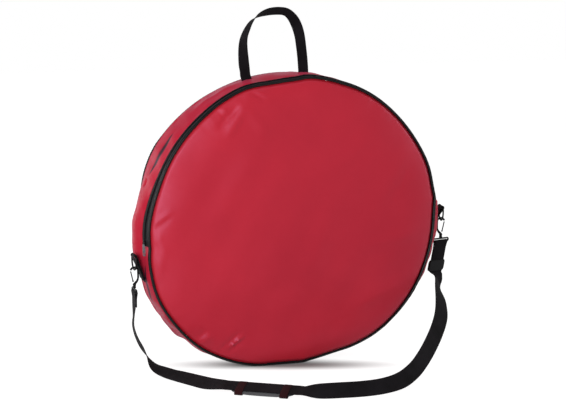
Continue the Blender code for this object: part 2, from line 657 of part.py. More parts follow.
def make_hook(side, metal):
    """Snap hook over the bow, with its sprung gate and the gate's rivet."""
    reach = HOOK_INNER + HOOK_WIRE
    hang = HOOK_INNER - RING_WIRE - HOOK_REST
    top = arc((0.0, -hang), reach, 15.0, 180.0, 19)
    spine = [(-reach, -2.2 * reach), (-0.75 * reach, -3.0 * reach), (-0.25 * reach, -3.6 * reach)]
    foot = [(0.0, -HOOK_DROP), (0.0, -HOOK_DROP - BARREL_LENGTH)]
    radii = [HOOK_WIRE] * (len(top) + 2) + [1.5 * HOOK_WIRE, BARREL_RADIUS, BARREL_RADIUS]
    path = side.place([(u, 0.0, w) for u, w in [*top, *spine, *foot]])
    skin(f"hook_{side.name}", wire_sections(path, radii, side.wide), metal)

    nose = top[0] + np.array([0.0, -HOOK_WIRE - GATE_WIRE - TOUCH_GAP])
    heel = np.array([0.25 * reach, -HOOK_DROP + BARREL_RADIUS])
    gate = side.place([(nose[0], 0.0, nose[1]), (heel[0], 0.0, heel[1])])
    skin(f"hook_gate_{side.name}", wire_sections(gate, GATE_WIRE, side.wide, 6), metal)


def make_eye(side, metal):
    """Swivel eye: a collar under the barrel and a wide loop for the webbing."""
    half = STRAP_WEBBING / 2 + 2 * EYE_WIRE
    rise = EYE_DROP - HOOK_DROP - BARREL_LENGTH - BARREL_RADIUS / 2
    corner = 1.3 * EYE_WIRE
    loop = np.vstack([
        arc((half - corner, rise - corner), corner, 0.0, 90.0, 4),
        arc((corner - half, rise - corner), corner, 90.0, 180.0, 4),
        arc((corner - half, corner), corner, 180.0, 270.0, 4),
        arc((half - corner, corner), corner, 270.0, 360.0, 4),
    ])
    path = side.place_turned([(0.0, v, w - EYE_DROP) for v, w in loop])
    plane = side.place_turned([(1.0, 0.0, 0.0)]) - side.place_turned([(0.0, 0.0, 0.0)])
    skin(f"swivel_eye_{side.name}", wire_sections(path, EYE_WIRE, plane[0], 8, closed=True), metal, closed=True)


def make_left_loop(side, webbing):
    """Sewn end of the strap round the left eye."""
    clear = EYE_WIRE + TOUCH_GAP + STRAP_THICKNESS / 2
    over = arc((0.0, -EYE_DROP), clear, 200.0, -20.0, 9)
    tight = STRAP_THICKNESS / 2 + TOUCH_GAP / 2
    low = -EYE_DROP - LOOP_LENGTH
    first = [(-tight, low), (-tight, low + LOOP_LENGTH / 2)]
    last = [(tight, low + LOOP_LENGTH / 2), (tight, low)]
    path = side.place([(u, 0.0, w) for u, w in [*first, *over, *last]])
    ribbon("strap_loop_left", path, (0.0, 1.0, 0.0), STRAP_WEBBING, STRAP_THICKNESS, webbing)


def make_right_end(side, webbing, metal):
    """Doubled end of the strap round the right eye, and the adjuster over both layers."""
    clear = EYE_WIRE + TOUCH_GAP + STRAP_THICKNESS / 2
    tight = STRAP_THICKNESS / 2 + TOUCH_GAP / 2
    low = -EYE_DROP - DOUBLED_LENGTH
    turn_end = -EYE_DROP - 4 * clear
    over = arc((0.0, -EYE_DROP), clear, -15.0, 195.0, 9)
    front = [(tight, w) for w in np.linspace(low, turn_end, 5)]
    path = side.place_turned([(u, 0.0, w) for u, w in [*front, *over, (-tight, turn_end)]])
    wide = side.place_turned([(0.0, 1.0, 0.0)])[0] - side.place_turned([(0.0, 0.0, 0.0)])[0]
    ribbon("strap_upper_right", path, wide, STRAP_WEBBING, STRAP_THICKNESS, webbing)
    back = [(-tight, 0.0, w) for w in np.linspace(turn_end - TOUCH_GAP, low + RETURN_TAIL, 5)]
    ribbon("strap_return", side.place_turned(back), wide, STRAP_WEBBING, STRAP_THICKNESS, webbing)

    middle = low + RETURN_TAIL + ADJUSTER_LENGTH / 2
    slot_u = STRAP_THICKNESS + 2 * TOUCH_GAP
    slot_v = STRAP_WEBBING / 2 + 2 * TOUCH_GAP
    corners = []
    for du, dv in ((-1, -1), (1, -1), (1, 1), (-1, 1)):
        inner = (du * slot_u, dv * slot_v)
        outer = (du * (slot_u + ADJUSTER_PLATE), dv * (slot_v + ADJUSTER_WALL))
        ends = (middle - ADJUSTER_LENGTH / 2, middle + ADJUSTER_LENGTH / 2)
        corners.append([(*inner, ends[0]), (*outer, ends[0]), (*outer, ends[1]), (*inner, ends[1])])
    skin("strap_adjuster", side.place_turned(corners), metal, closed=True)


def strap_rows(route, bow, drawn_for, upper_first):
    """The route's rows. Its upper end moves with the ring's bow, its floor end stays."""
    share = np.clip(np.linspace(2.0, 0.0, len(route)), 0.0, 1.0)
    share = share if upper_first else share[::-1]
    shift = np.subtract(bow, drawn_for)
    rows = [(*(np.array(centre) + shift * part), *wide) for (centre, wide), part in zip(route, share)]
    return smooth(rows, 3)


def make_strap(webbing, pad_cloth, keeper):
    """The two free stretches, and the shoulder pad under the place where they meet."""
    left = strap_rows(STRAP_LEFT_ROUTE, LEFT_BOW, LEFT_ROUTE_BOW, True)
    right = strap_rows(STRAP_RIGHT_ROUTE, RIGHT_BOW, RIGHT_ROUTE_BOW, False)
    ribbon("strap_run_left", left[:, :3], left[:, 3:], STRAP_WEBBING, STRAP_THICKNESS, webbing)
    ribbon("strap_run_right", right[:, :3], right[:, 3:], STRAP_WEBBING, STRAP_THICKNESS, webbing)

    centre = (left[-1, :3] + right[0, :3]) / 2
    along = unit(right[3, :3] - left[-4, :3])
    wide, out = across(np.array([centre - along, centre + along]), np.array([left[-1, 3:]] * 2))
    wide, out = wide[0], out[0] * np.sign(out[0][2])
    rest = STRAP_THICKNESS / 2 + TOUCH_GAP
    middle = centre - wide * PAD_DROP - out * (rest + PAD_THICKNESS / 2)
    half = PAD_LENGTH / 2
    sections = []
    for share, size in PAD_PROFILE_SHARES:
        for sign in (-1, 1):
            sections.append((sign * share * half, size))
    sections.sort()
    loops = []
    for s, size in sections:
        reach, deep = size * PAD_WIDTH / 2, size * PAD_THICKNESS / 2
        loops.append([middle + along * s + wide * u * reach + out * v * deep for u, v in PAD_EDGE_SHARES])
    skin("shoulder_pad", loops, pad_cloth)

    top = rest + TOUCH_GAP
    low = PAD_DROP + PAD_WIDTH / 2 + 2 * TOUCH_GAP
    high = STRAP_WEBBING / 2 + 2 * TOUCH_GAP
    bottom = -(rest + PAD_THICKNESS + TOUCH_GAP)
    edge = 0.93 * low
    ring = [(high, bottom), (high, top), (-high, top), (-edge, TOUCH_GAP - rest), (-low, bottom / 2), (-edge, bottom)]
    for name, sign in (("left", -1), ("right", 1)):
        place = centre + along * sign * (half - KEEPER_INSET - KEEPER_LENGTH / 2)
        corners = []
        for u, v in ring:
            far_u, far_v = u + np.sign(u) * KEEPER_WALL, v + np.sign(v) * KEEPER_WALL
            loop = []
            for a, b, s in ((u, v, -0.5), (far_u, far_v, -0.5), (far_u, far_v, 0.5), (u, v, 0.5)):
                loop.append(place + wide * a + out * b + along * s * KEEPER_LENGTH)
            corners.append(loop)
        skin(f"pad_keeper_{name}", corners, keeper, closed=True)


def main():
    clear_scene()
    red = make_material("coated_polyester", (0.52, 0.03, 0.05), 0.45)
    black = make_material("black_piping", (0.012, 0.012, 0.013), 0.35)
    foam = make_material("grey_foam", (0.35, 0.35, 0.35), 0.9)
    lining = make_material("black_lining", (0.02, 0.02, 0.02), 0.7)
    tape = make_material("zip_tape", (0.012, 0.012, 0.013), 0.7)
    coil = make_material("nylon_coil", (0.015, 0.015, 0.016), 0.4)
    metal = make_material("black_metal", (0.03, 0.03, 0.032), 0.35, 1.0)
    grey_pull = make_material("grey_pull", (0.25, 0.25, 0.26), 0.5)
    webbing = make_material("polyester_webbing", (0.015, 0.014, 0.015), 0.6)
    pad_cloth = make_material("grey_pad_cloth", (0.12, 0.12, 0.12), 0.8)
    keeper = make_material("maroon_band", (0.04, 0.01, 0.011), 0.6)

    make_shell(red, black, foam, lining)
    make_zip(tape, coil, metal, grey_pull)
    make_handle(webbing)
    for side in (Side("left", LEFT_BOW, -1), Side("right", RIGHT_BOW, 1, yaw=8.0, turn=65.0, lean=10.0)):
        make_ring(side, metal)
        make_tab(side, webbing)
        make_hook(side, metal)
        make_eye(side, metal)
        if side.name == "left":
            make_left_loop(side, webbing)
        else:
            make_right_end(side, webbing, metal)
    make_strap(webbing, pad_cloth, keeper)


main()
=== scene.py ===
# %% [markdown]
# # A padded bag for one bicycle wheel
# This notebook dresses a finished CAD model for a picture. The CAD model stays as a fixed
# frame: every soft piece made here stands for one or more of its solids, lies in the same
# place and moves with the same body. Lengths are in metres, +Z is up and +Y is the back.

import bmesh
import bpy
import numpy as np
from mathutils import Matrix


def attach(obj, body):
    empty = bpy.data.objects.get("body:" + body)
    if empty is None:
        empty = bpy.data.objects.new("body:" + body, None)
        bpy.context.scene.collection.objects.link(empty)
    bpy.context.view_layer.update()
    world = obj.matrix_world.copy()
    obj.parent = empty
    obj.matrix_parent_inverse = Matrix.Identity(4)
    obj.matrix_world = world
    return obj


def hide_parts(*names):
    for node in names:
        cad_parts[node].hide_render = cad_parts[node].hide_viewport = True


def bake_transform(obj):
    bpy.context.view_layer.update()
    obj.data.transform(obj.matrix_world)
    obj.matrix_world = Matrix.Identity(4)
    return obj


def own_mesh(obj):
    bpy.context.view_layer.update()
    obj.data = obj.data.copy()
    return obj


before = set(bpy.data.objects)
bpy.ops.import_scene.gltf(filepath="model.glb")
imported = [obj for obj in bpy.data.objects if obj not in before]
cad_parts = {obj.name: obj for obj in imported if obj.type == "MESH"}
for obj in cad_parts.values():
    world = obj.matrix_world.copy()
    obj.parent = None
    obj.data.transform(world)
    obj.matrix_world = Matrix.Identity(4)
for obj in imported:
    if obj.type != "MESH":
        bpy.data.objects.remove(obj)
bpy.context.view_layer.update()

# %% [markdown]
# ## Camera
# The photograph was taken from a little left of the front and slightly above. A camera needs
# only three directions and a place: its own matrix is built from them, so no aim object and
# no constraint is left in the scene. The lens follows from how many metres one pixel spans.

# %% Camera
AZIMUTH, ELEVATION = np.radians(-17.0), np.radians(9.0)
TARGET = np.array([-0.0166, 0.0, 0.3665])
DISTANCE = 4.5
METRES_PER_PIXEL = 0.002365
IMAGE_WIDTH = 566
SENSOR_WIDTH = 36.0  # in mm, so the lens is in mm too

level = np.cos(ELEVATION)
back = np.array([np.sin(AZIMUTH) * level, -np.cos(AZIMUTH) * level, np.sin(ELEVATION)])
right = np.array([np.cos(AZIMUTH), np.sin(AZIMUTH), 0.0])
camera_data = bpy.data.cameras.new("camera")
camera_data.sensor_width = SENSOR_WIDTH
camera_data.lens = SENSOR_WIDTH * DISTANCE / METRES_PER_PIXEL / IMAGE_WIDTH
camera = bpy.data.objects.new("camera", camera_data)
bpy.context.scene.collection.objects.link(camera)
turn = np.eye(4)
turn[:3, 0], turn[:3, 1], turn[:3, 2] = right, np.cross(back, right), back
turn[:3, 3] = TARGET + back * DISTANCE
camera.matrix_world = Matrix(turn.tolist())
bpy.context.scene.camera = camera
print("lens", round(camera_data.lens, 1), "mm, camera at", np.round(turn[:3, 3], 3).tolist())

# %% [markdown]
# ## From numbers to surfaces
# Almost every piece here is a grid of points: rows run along the piece and columns go round
# it. One function joins such a grid into a mesh. It also writes a UV map in metres, so a
# weave can be given its real thread spacing on any piece.

# %% Grid surfaces


def unit(vectors):
    """Each vector divided by its length."""
    vectors = np.asarray(vectors, dtype=float)
    return vectors / np.linalg.norm(vectors, axis=-1, keepdims=True)


def grid_mesh(name, grid, materials, closed=False, ends="cap", inside=None, sharp=50.0):
    """Join a grid of points into one closed mesh.

    Row r and column c make a four-sided face with the next row and column, and the last
    column joins the first. closed joins the last row to the first too. ends is cap for a flat
    end face or pole for rows that shrink to a point. inside is a test of (row, column) that
    picks the second material.
    """
    grid = np.asarray(grid, dtype=float)
    rows, columns = grid.shape[:2]
    step_along = np.linalg.norm(grid - np.roll(grid, -1, axis=0), axis=2).mean(axis=1)
    step_round = np.linalg.norm(grid - np.roll(grid, -1, axis=1), axis=2).mean(axis=0)
    along, across_ = np.append(0.0, np.cumsum(step_along)), np.append(0.0, np.cumsum(step_round))
    r, c = np.meshgrid(np.arange(rows if closed else rows - 1), np.arange(columns), indexing="ij")
    r, c = r.ravel(), c.ravel()
    corners = [(r, c), (r, c + 1), (r + 1, c + 1), (r + 1, c)]
    faces = np.stack([(a % rows) * columns + b % columns for a, b in corners], axis=1).tolist()
    uvs = np.stack([np.stack([across_[b], along[a]], axis=1) for a, b in corners], axis=1).reshape(-1, 2)
    picks = np.zeros(len(r), dtype=np.int32) if inside is None else inside(r, c).astype(np.int32)
    if ends == "cap" and not closed:
        faces += [list(range(columns)), list(range((rows - 1) * columns, rows * columns))]
        first, last = np.zeros(columns), np.full(columns, along[rows - 1])
        uvs = np.vstack([uvs, np.stack([across_[:-1], first], 1), np.stack([across_[:-1], last], 1)])
        picks = np.append(picks, [0, 0]).astype(np.int32)
    mesh = bpy.data.meshes.new(name)
    mesh.from_pydata(grid.reshape(-1, 3).tolist(), [], faces)
    layer = mesh.uv_layers.new(name="cloth")
    layer.uv.foreach_set("vector", uvs.astype(np.float32).ravel())
    for material in materials:
        mesh.materials.append(material)
    mesh.polygons.foreach_set("material_index", picks)
    return finish_mesh(name, mesh, sharp)


def finish_mesh(name, mesh, sharp):
    """Merge double points, turn the faces outwards and shade smooth up to an angle in degrees."""
    bm = bmesh.new()
    bm.from_mesh(mesh)
    bmesh.ops.remove_doubles(bm, verts=bm.verts, dist=1e-7)
    bmesh.ops.recalc_face_normals(bm, faces=bm.faces)
    if bm.calc_volume(signed=True) < 0:
        bmesh.ops.reverse_faces(bm, faces=bm.faces)
    for face in bm.faces:
        face.smooth = True
    bm.to_mesh(mesh)
    bm.free()
    mesh.set_sharp_from_angle(angle=np.radians(sharp))
    piece = bpy.data.objects.new(name, mesh)
    bpy.context.scene.collection.objects.link(piece)
    return piece


def smooth(rows, steps):
    """A cubic curve through the rows, with each row's slope taken from its neighbours."""
    rows = np.asarray(rows, dtype=float)
    slopes = np.gradient(rows, axis=0)
    t = np.linspace(0.0, 1.0, steps, endpoint=False)[:, None]
    spans = [
        (2 * t**3 - 3 * t**2 + 1) * a + (t**3 - 2 * t**2 + t) * s
        + (3 * t**2 - 2 * t**3) * b + (t**3 - t**2) * e
        for a, b, s, e in zip(rows, rows[1:], slopes, slopes[1:])
    ]
    return np.vstack(spans + [rows[-1:]])


def path_length(path):
    """Sum of the distances between neighbouring points."""
    return float(np.linalg.norm(np.diff(path, axis=0), axis=1).sum())


print("grid helpers ready")

# %% [markdown]
# ## Colours and shader nodes
# Colours are picked from a picture as sRGB hex, but a shader works with linear light, so one
# function does the conversion. Another adds a node with its settings and links.

# %% Colour and node helpers


def linear(text):
    """sRGB hex to linear RGBA: values up to 0.04045 are divided by 12.92, others follow the 2.4 power."""
    value = np.array([int(text[k:k + 2], 16) for k in (1, 3, 5)]) / 255
    value = np.where(value <= 0.04045, value / 12.92, ((value + 0.055) / 1.055) ** 2.4)
    return (*value.tolist(), 1.0)


def add(tree, kind, values=None, links=None, stops=(), **settings):
    """Add one node: its properties, its unlinked inputs, what feeds it and any colour stops."""
    item = tree.nodes.new(kind)
    for key, value in settings.items():
        setattr(item, key, value)
    for key, value in (values or {}).items():
        item.inputs[key].default_value = value
    for key, source in (links or {}).items():
        tree.links.new(source, item.inputs[key])
    for k, (position, colour) in enumerate(stops):
        element = item.color_ramp.elements[k]
        element.position, element.color = position, linear(colour)
    return item


def start_material(name, **sockets):
    """A new material with a Principled shader whose plain values are set on its own sockets."""
    material = bpy.data.materials.new(name)
    material.use_nodes = True
    shader = material.node_tree.nodes["Principled BSDF"]
    for key, value in sockets.items():
        shader.inputs[key.replace("_", " ")].default_value = value
    return material, material.node_tree, shader


# A wave texture of this scale has about one band for each unit of its coordinates.
WAVE_SCALE = 0.32
print("example: #BF2B3C is", np.round(linear("#BF2B3C"), 3).tolist())

# %% [markdown]
# ## Webbing
# The strap, handle and tabs are polyester webbing: a dense flat weave with raised ribs along
# it and firm rounded edges. Its UV map has one axis across the webbing and one along it, so
# two wave patterns crossed at a slant give the twill ribs. The real ribs are 1 mm apart; at
# this picture's scale they are drawn 2 mm apart so that some of them show.

# %% Webbing material


def webbing_material(name, dark, light, rib=0.002):
    """Woven polyester: matt, with ribs as bump and a little colour between threads."""
    material, tree, shader = start_material(
        name, Roughness=0.80, Specular_IOR_Level=0.06, Sheen_Weight=0.02, Sheen_Roughness=0.5,
    )
    uv = add(tree, "ShaderNodeUVMap", uv_map="cloth")
    scale = 1.0 / rib
    flat = add(
        tree, "ShaderNodeMapping", values={"Scale": (scale, scale, scale)},
        links={"Vector": uv.outputs["UV"]},
    )
    ribs = add(
        tree, "ShaderNodeTexWave", values={"Scale": WAVE_SCALE, "Distortion": 0.0},
        links={"Vector": flat.outputs[0]}, bands_direction="X",
    )
    twill = add(
        tree, "ShaderNodeTexWave", values={"Scale": WAVE_SCALE, "Distortion": 0.4, "Detail": 0.0},
        links={"Vector": flat.outputs[0]}, bands_direction="DIAGONAL",
    )
    both = add(
        tree, "ShaderNodeMath", links={0: ribs.outputs["Fac"], 1: twill.outputs["Fac"]}, operation="MULTIPLY",
    )
    place = add(tree, "ShaderNodeTexCoord")
    dust = add(
        tree, "ShaderNodeTexNoise", values={"Scale": 22.0, "Detail": 3.0},
        links={"Vector": place.outputs["Object"]},
    )
    mixed = add(
        tree, "ShaderNodeMath", values={1: 0.55}, links={0: both.outputs[0], 2: dust.outputs["Fac"]},
        operation="MULTIPLY_ADD",
    )
    colour = add(
        tree, "ShaderNodeValToRGB", links={"Fac": mixed.outputs[0]}, stops=((0.25, dark), (1.0, light)),
    )
    bump = add(
        tree, "ShaderNodeBump", values={"Strength": 0.5, "Distance": 0.0006},
        links={"Height": both.outputs[0]},
    )
    tree.links.new(colour.outputs["Color"], shader.inputs["Base Color"])
    tree.links.new(bump.outputs["Normal"], shader.inputs["Normal"])
    return material


webbing = webbing_material("polyester_webbing", "#0A090A", "#1F1C20")
maroon_webbing = webbing_material("maroon_webbing", "#1E0C0E", "#331518", 0.0016)
print("webbing materials:", webbing.name, maroon_webbing.name)

# %% [markdown]
# ## The shoulder strap's way
# A strap is a cord that is flat. Its centre line and the direction across it are given at a
# few places and joined by one smooth curve. The same places are used in the CAD source.

# %% Strap routes
STRAP_WIDTH, STRAP_THICKNESS, TOUCH_GAP = 0.038, 0.0018, 0.0003
EYE_DROP, EYE_WIRE, LOOP_LENGTH, DOUBLED_LENGTH, RETURN_TAIL = 0.052, 0.002, 0.034, 0.078, 0.006
LEFT_LEAD, RIGHT_LEAD = 0.006, 0.004  # how far above a loop's low end its path joins the route
PAD_ACROSS = (0.5225, 0.793, 0.31)  # the direction across the strap where it lies on the pad
LEFT_ROUTE = [
    ((-0.3860, -0.0240, 0.1300), (0.15, 0.985, 0.0)), ((-0.3860, -0.0220, 0.1080), (0.08, 0.99, 0.0)),
    ((-0.3790, -0.0220, 0.0820), (0.00, 0.99, -0.05)), ((-0.3670, -0.0280, 0.0560), (-0.02, 0.98, -0.15)),
    ((-0.3530, -0.0410, 0.0320), (0.29, 0.94, -0.16)), ((-0.3400, -0.0680, 0.0160), (0.6, 0.75, 0.15)),
    ((-0.3230, -0.1030, 0.0110), (0.75, 0.55, 0.3)), ((-0.3050, -0.1370, 0.0105), (0.8, 0.42, 0.4)),
    ((-0.2794, -0.1890, 0.0112), (0.77, 0.39, 0.45)), ((-0.2600, -0.2290, 0.0125), (0.66, 0.5, 0.45)),
    ((-0.2373, -0.2650, 0.0168), PAD_ACROSS), ((-0.2248, -0.2733, 0.0168), PAD_ACROSS),
    ((-0.1914, -0.2953, 0.0168), PAD_ACROSS), ((-0.1582, -0.3172, 0.0168), PAD_ACROSS),
]
RIGHT_ROUTE = [
    ((-0.1578, -0.3175, 0.0168), PAD_ACROSS), ((-0.1246, -0.3393, 0.0168), PAD_ACROSS),
    ((-0.0912, -0.3613, 0.0168), PAD_ACROSS), ((-0.0787, -0.3696, 0.0168), PAD_ACROSS),
    ((-0.0480, -0.3800, 0.0165), (0.2, 0.65, 0.72)), ((-0.0060, -0.3850, 0.0165), (0.0, 0.6, 0.8)),
    ((0.0500, -0.3880, 0.0165), (0.0, 0.6, 0.8)), ((0.1010, -0.3800, 0.0172), (-0.1, 0.6, 0.8)),
    ((0.1480, -0.3640, 0.0225), (-0.2, 0.5, 0.8)), ((0.1900, -0.3320, 0.0335), (-0.35, 0.4, 0.85)),
    ((0.2250, -0.2950, 0.0480), (-0.5, 0.3, 0.8)), ((0.2650, -0.2430, 0.0670), (-0.6, 0.2, 0.7)),
    ((0.3030, -0.1900, 0.0910), (-0.7, 0.1, 0.6)), ((0.3310, -0.1440, 0.1160), (-0.8, 0.0, 0.5)),
    ((0.3480, -0.0980, 0.1420), (-0.75, -0.35, 0.4)), ((0.3585, -0.0540, 0.1640), (-0.5, -0.8, 0.2)),
    ((0.3640, -0.0330, 0.1745), (-0.5, -0.85, 0.1)), ((0.3676, -0.0195, 0.1830), (-0.8, -0.6, 0.1)),
]


class Side:
    """The fittings of one side. u points away from the bag, v back, w up, from the ring's bow."""

    def __init__(self, name, bow, sign, yaw, turn, lean):
        self.name, self.bow, self.sign = name, np.array(bow), sign
        self.yaw, self.turn, self.lean = np.radians([yaw, turn, lean])
        self.wide = np.array([np.sin(self.yaw), np.cos(self.yaw), 0.0])
        self.out = sign * np.array([np.cos(self.yaw), -np.sin(self.yaw), 0.0])

    def place(self, points, turned=False):
        """Fitting points to world points. turned ones spin about w, then lean from the eye down."""
        u, v, w = np.moveaxis(np.asarray(points, dtype=float), -1, 0)
        if turned:
            c, s = np.cos(self.turn), np.sin(self.turn)
            u, v = u * c + v * s, v * c - u * s
            u = u + np.minimum(w + EYE_DROP, 0.0) * np.tan(self.lean)
        up = np.array([0.0, 0.0, 1.0])
        return self.bow + u[..., None] * self.out + v[..., None] * self.wide + w[..., None] * up


LEFT = Side("left", (-0.3830, -0.0240, 0.2420), -1, 0.0, 0.0, 0.0)
RIGHT = Side("right", (0.3812, -0.0080, 0.3187), 1, 8.0, 65.0, 10.0)
TURNED_WIDE = unit(RIGHT.place([0.0, 1.0, 0.0], True) - RIGHT.place([0.0, 0.0, 0.0], True))


def arc(centre, radius, start, end, steps):
    """Points on a circle's arc, with angles in degrees."""
    a = np.radians(np.linspace(start, end, steps))
    return np.stack([centre[0] + radius * np.cos(a), centre[1] + radius * np.sin(a)], axis=1)


def fitting_path(flat):
    """Points (u, w) as (u, 0, w)."""
    flat = np.asarray(flat, dtype=float)
    return np.stack([flat[:, 0], np.zeros(len(flat)), flat[:, 1]], axis=1)


clear = EYE_WIRE + TOUCH_GAP + STRAP_THICKNESS / 2
tight = STRAP_THICKNESS / 2 + TOUCH_GAP / 2
low = -EYE_DROP - LOOP_LENGTH
sewn = low + LOOP_LENGTH * 0.6  # up to this height both layers of the loop lie together
tail = [(-tight, w) for w in np.linspace(low, sewn, 6)]
over = arc((0.0, -EYE_DROP), clear, 200.0, -20.0, 17)
outer = [(tight, w) for w in np.linspace(sewn, low + LEFT_LEAD, 5)]
left_end = LEFT.place(fitting_path([*tail, *over, *outer]))
left_rows = smooth([(*left_end[-1], 0.0, 1.0, 0.0)] + [(*c, *w) for c, w in LEFT_ROUTE], 5)
JOIN_ROW = 63  # the row of the left route at which both stretches meet, under the pad's left band
left_path = np.vstack([left_end[:-1], left_rows[: JOIN_ROW + 1, :3]])
left_wide = np.vstack([np.tile([0.0, 1.0, 0.0], (len(left_end) - 1, 1)), left_rows[: JOIN_ROW + 1, 3:]])

low = -EYE_DROP - DOUBLED_LENGTH
turn_end = -EYE_DROP - 4 * clear
over = arc((0.0, -EYE_DROP), clear, 195.0, -15.0, 17)
down = [(tight, w) for w in np.linspace(turn_end, low + RIGHT_LEAD, 7)]
right_end = RIGHT.place(fitting_path([(-tight, turn_end), *over, *down]), True)
rows = [(*right_end[-1], *-TURNED_WIDE)] + [(*c, *w) for c, w in RIGHT_ROUTE[::-1]]
right_rows = smooth(rows, 5)
lead = left_rows[JOIN_ROW:-1][::-1]
right_path = np.vstack([right_end[:-1], right_rows[:, :3], lead[:, :3]])
right_wide = np.vstack([np.tile(-TURNED_WIDE, (len(right_end) - 1, 1)), right_rows[:, 3:], lead[:, 3:]])
print("strap lengths", round(path_length(left_path), 3), round(path_length(right_path), 3))

# %% [markdown]
# The webbing's section is a flat rounded strip. At each point of the path the strip is laid
# along the given direction across, and at right angles to the path. The section is carried
# through all the points at once.

# %% Strap pieces
WEB_SECTION = [
    (-1.0, 0.0), (-0.985, 0.7), (-0.95, 0.95), (-0.80, 0.86), (-0.4, 0.9), (0.0, 0.92), (0.4, 0.9),
    (0.80, 0.86), (0.95, 0.95), (0.985, 0.7), (1.0, 0.0), (0.985, -0.7), (0.95, -0.95), (0.80, -0.86),
    (0.4, -0.9), (0.0, -0.92), (-0.4, -0.9), (-0.80, -0.86), (-0.95, -0.95), (-0.985, -0.7),
]


def frames(path, wide):
    """At each point: the direction across, made square to the path, and the one through the strip."""
    along = unit(np.gradient(path, axis=0))
    wide = np.broadcast_to(np.asarray(wide, dtype=float), path.shape)
    wide = unit(wide - along * np.sum(wide * along, axis=1, keepdims=True))
    return along, wide, np.cross(along, wide)


def strip(name, path, wide, width, thickness, material):
    """A flat section along a path: point + across * a * width / 2 + through * b * thickness / 2."""
    path = np.asarray(path, dtype=float)
    along, wide, through = frames(path, wide)
    a, b = np.array(WEB_SECTION).T
    grid = path[:, None] + wide[:, None] * a[:, None] * width / 2
    grid = grid + through[:, None] * b[:, None] * thickness / 2
    return grid_mesh(name, grid, [material])


strap_left = strip("strap_left", left_path, left_wide, STRAP_WIDTH, STRAP_THICKNESS, webbing)
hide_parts("strap_run_left", "strap_loop_left")
strap_right = strip("strap_right", right_path, right_wide, STRAP_WIDTH, STRAP_THICKNESS, webbing)
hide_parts("strap_run_right", "strap_upper_right")

back_layer = [(-tight, w) for w in np.linspace(turn_end - TOUCH_GAP, low + RETURN_TAIL, 12)]
strap_return = strip(
    "strap_return_layer", RIGHT.place(fitting_path(back_layer), True), -TURNED_WIDE, STRAP_WIDTH,
    STRAP_THICKNESS, webbing,
)
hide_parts("strap_return")
print("strap pieces", [len(piece.data.polygons) for piece in (strap_left, strap_right, strap_return)])

# %% [markdown]
# ## Shoulder pad
# The pad is a slim padded sleeve behind the strap, bound at its edge and held by two short
# bands of webbing. A superellipse gives it a full middle, and its width and thickness close
# towards both ends, so the ends are rounded and soft.

# %% Pad and its bands
PAD_LENGTH, PAD_WIDTH, PAD_THICKNESS, PAD_DROP = 0.150, 0.046, 0.0060, 0.004
KEEPER_LENGTH, KEEPER_WALL, KEEPER_INSET = 0.018, 0.0010, 0.014
KEEPER_SECTION = [(0.0, -0.5), (0.0, 0.5), (0.55, 0.52), (1.0, 0.46), (1.0, -0.46), (0.55, -0.52)]


def woven_material(name, dark, light, thread, roughness, sheen=0.3):
    """Plain woven cloth: threads over and under each other, as a checked bump."""
    material, tree, shader = start_material(
        name, Roughness=roughness, Specular_IOR_Level=0.10, Sheen_Weight=sheen, Sheen_Roughness=0.4,
    )
    uv = add(tree, "ShaderNodeUVMap", uv_map="cloth")
    scale = WAVE_SCALE / thread
    warp = add(
        tree, "ShaderNodeTexWave", values={"Scale": scale}, links={"Vector": uv.outputs["UV"]},
        bands_direction="X",
    )
    weft = add(
        tree, "ShaderNodeTexWave", values={"Scale": scale}, links={"Vector": uv.outputs["UV"]},
        bands_direction="Y",
    )
    both = add(
        tree, "ShaderNodeMath", links={0: warp.outputs["Fac"], 1: weft.outputs["Fac"]}, operation="MULTIPLY",
    )
    place = add(tree, "ShaderNodeTexCoord")
    cloud = add(
        tree, "ShaderNodeTexNoise", values={"Scale": 14.0, "Detail": 4.0},
        links={"Vector": place.outputs["Object"]},
    )
    mixed = add(
        tree, "ShaderNodeMath", values={1: 0.4}, links={0: both.outputs[0], 2: cloud.outputs["Fac"]},
        operation="MULTIPLY_ADD",
    )
    colour = add(
        tree, "ShaderNodeValToRGB", links={"Fac": mixed.outputs[0]}, stops=((0.25, dark), (1.0, light)),
    )
    bump = add(
        tree, "ShaderNodeBump", values={"Strength": 0.35, "Distance": 0.0004},
        links={"Height": both.outputs[0]},
    )
    tree.links.new(colour.outputs["Color"], shader.inputs["Base Color"])
    tree.links.new(bump.outputs["Normal"], shader.inputs["Normal"])
    return material


# Knitted spacer cloth: matt grey, and paler than the strap because its loops scatter light.
pad_cloth = woven_material("grey_pad_mesh_cloth", "#3C3C3E", "#626265", 0.0018, 0.8)
left_all = smooth([(-0.3830, -0.0240, 0.1557, 0.0, 1.0, 0.0)] + [(*c, *w) for c, w in LEFT_ROUTE], 3)
right_all = smooth([(*c, *w) for c, w in RIGHT_ROUTE], 3)
pad_centre = (left_all[-1, :3] + right_all[0, :3]) / 2
pad_along = unit(right_all[3, :3] - left_all[-4, :3])
pad_wide = np.array(PAD_ACROSS)
pad_wide = unit(pad_wide - pad_along * (pad_wide @ pad_along))
pad_out = np.cross(pad_along, pad_wide)
pad_out = pad_out * np.sign(pad_out[2])
rest_height = STRAP_THICKNESS / 2 + TOUCH_GAP

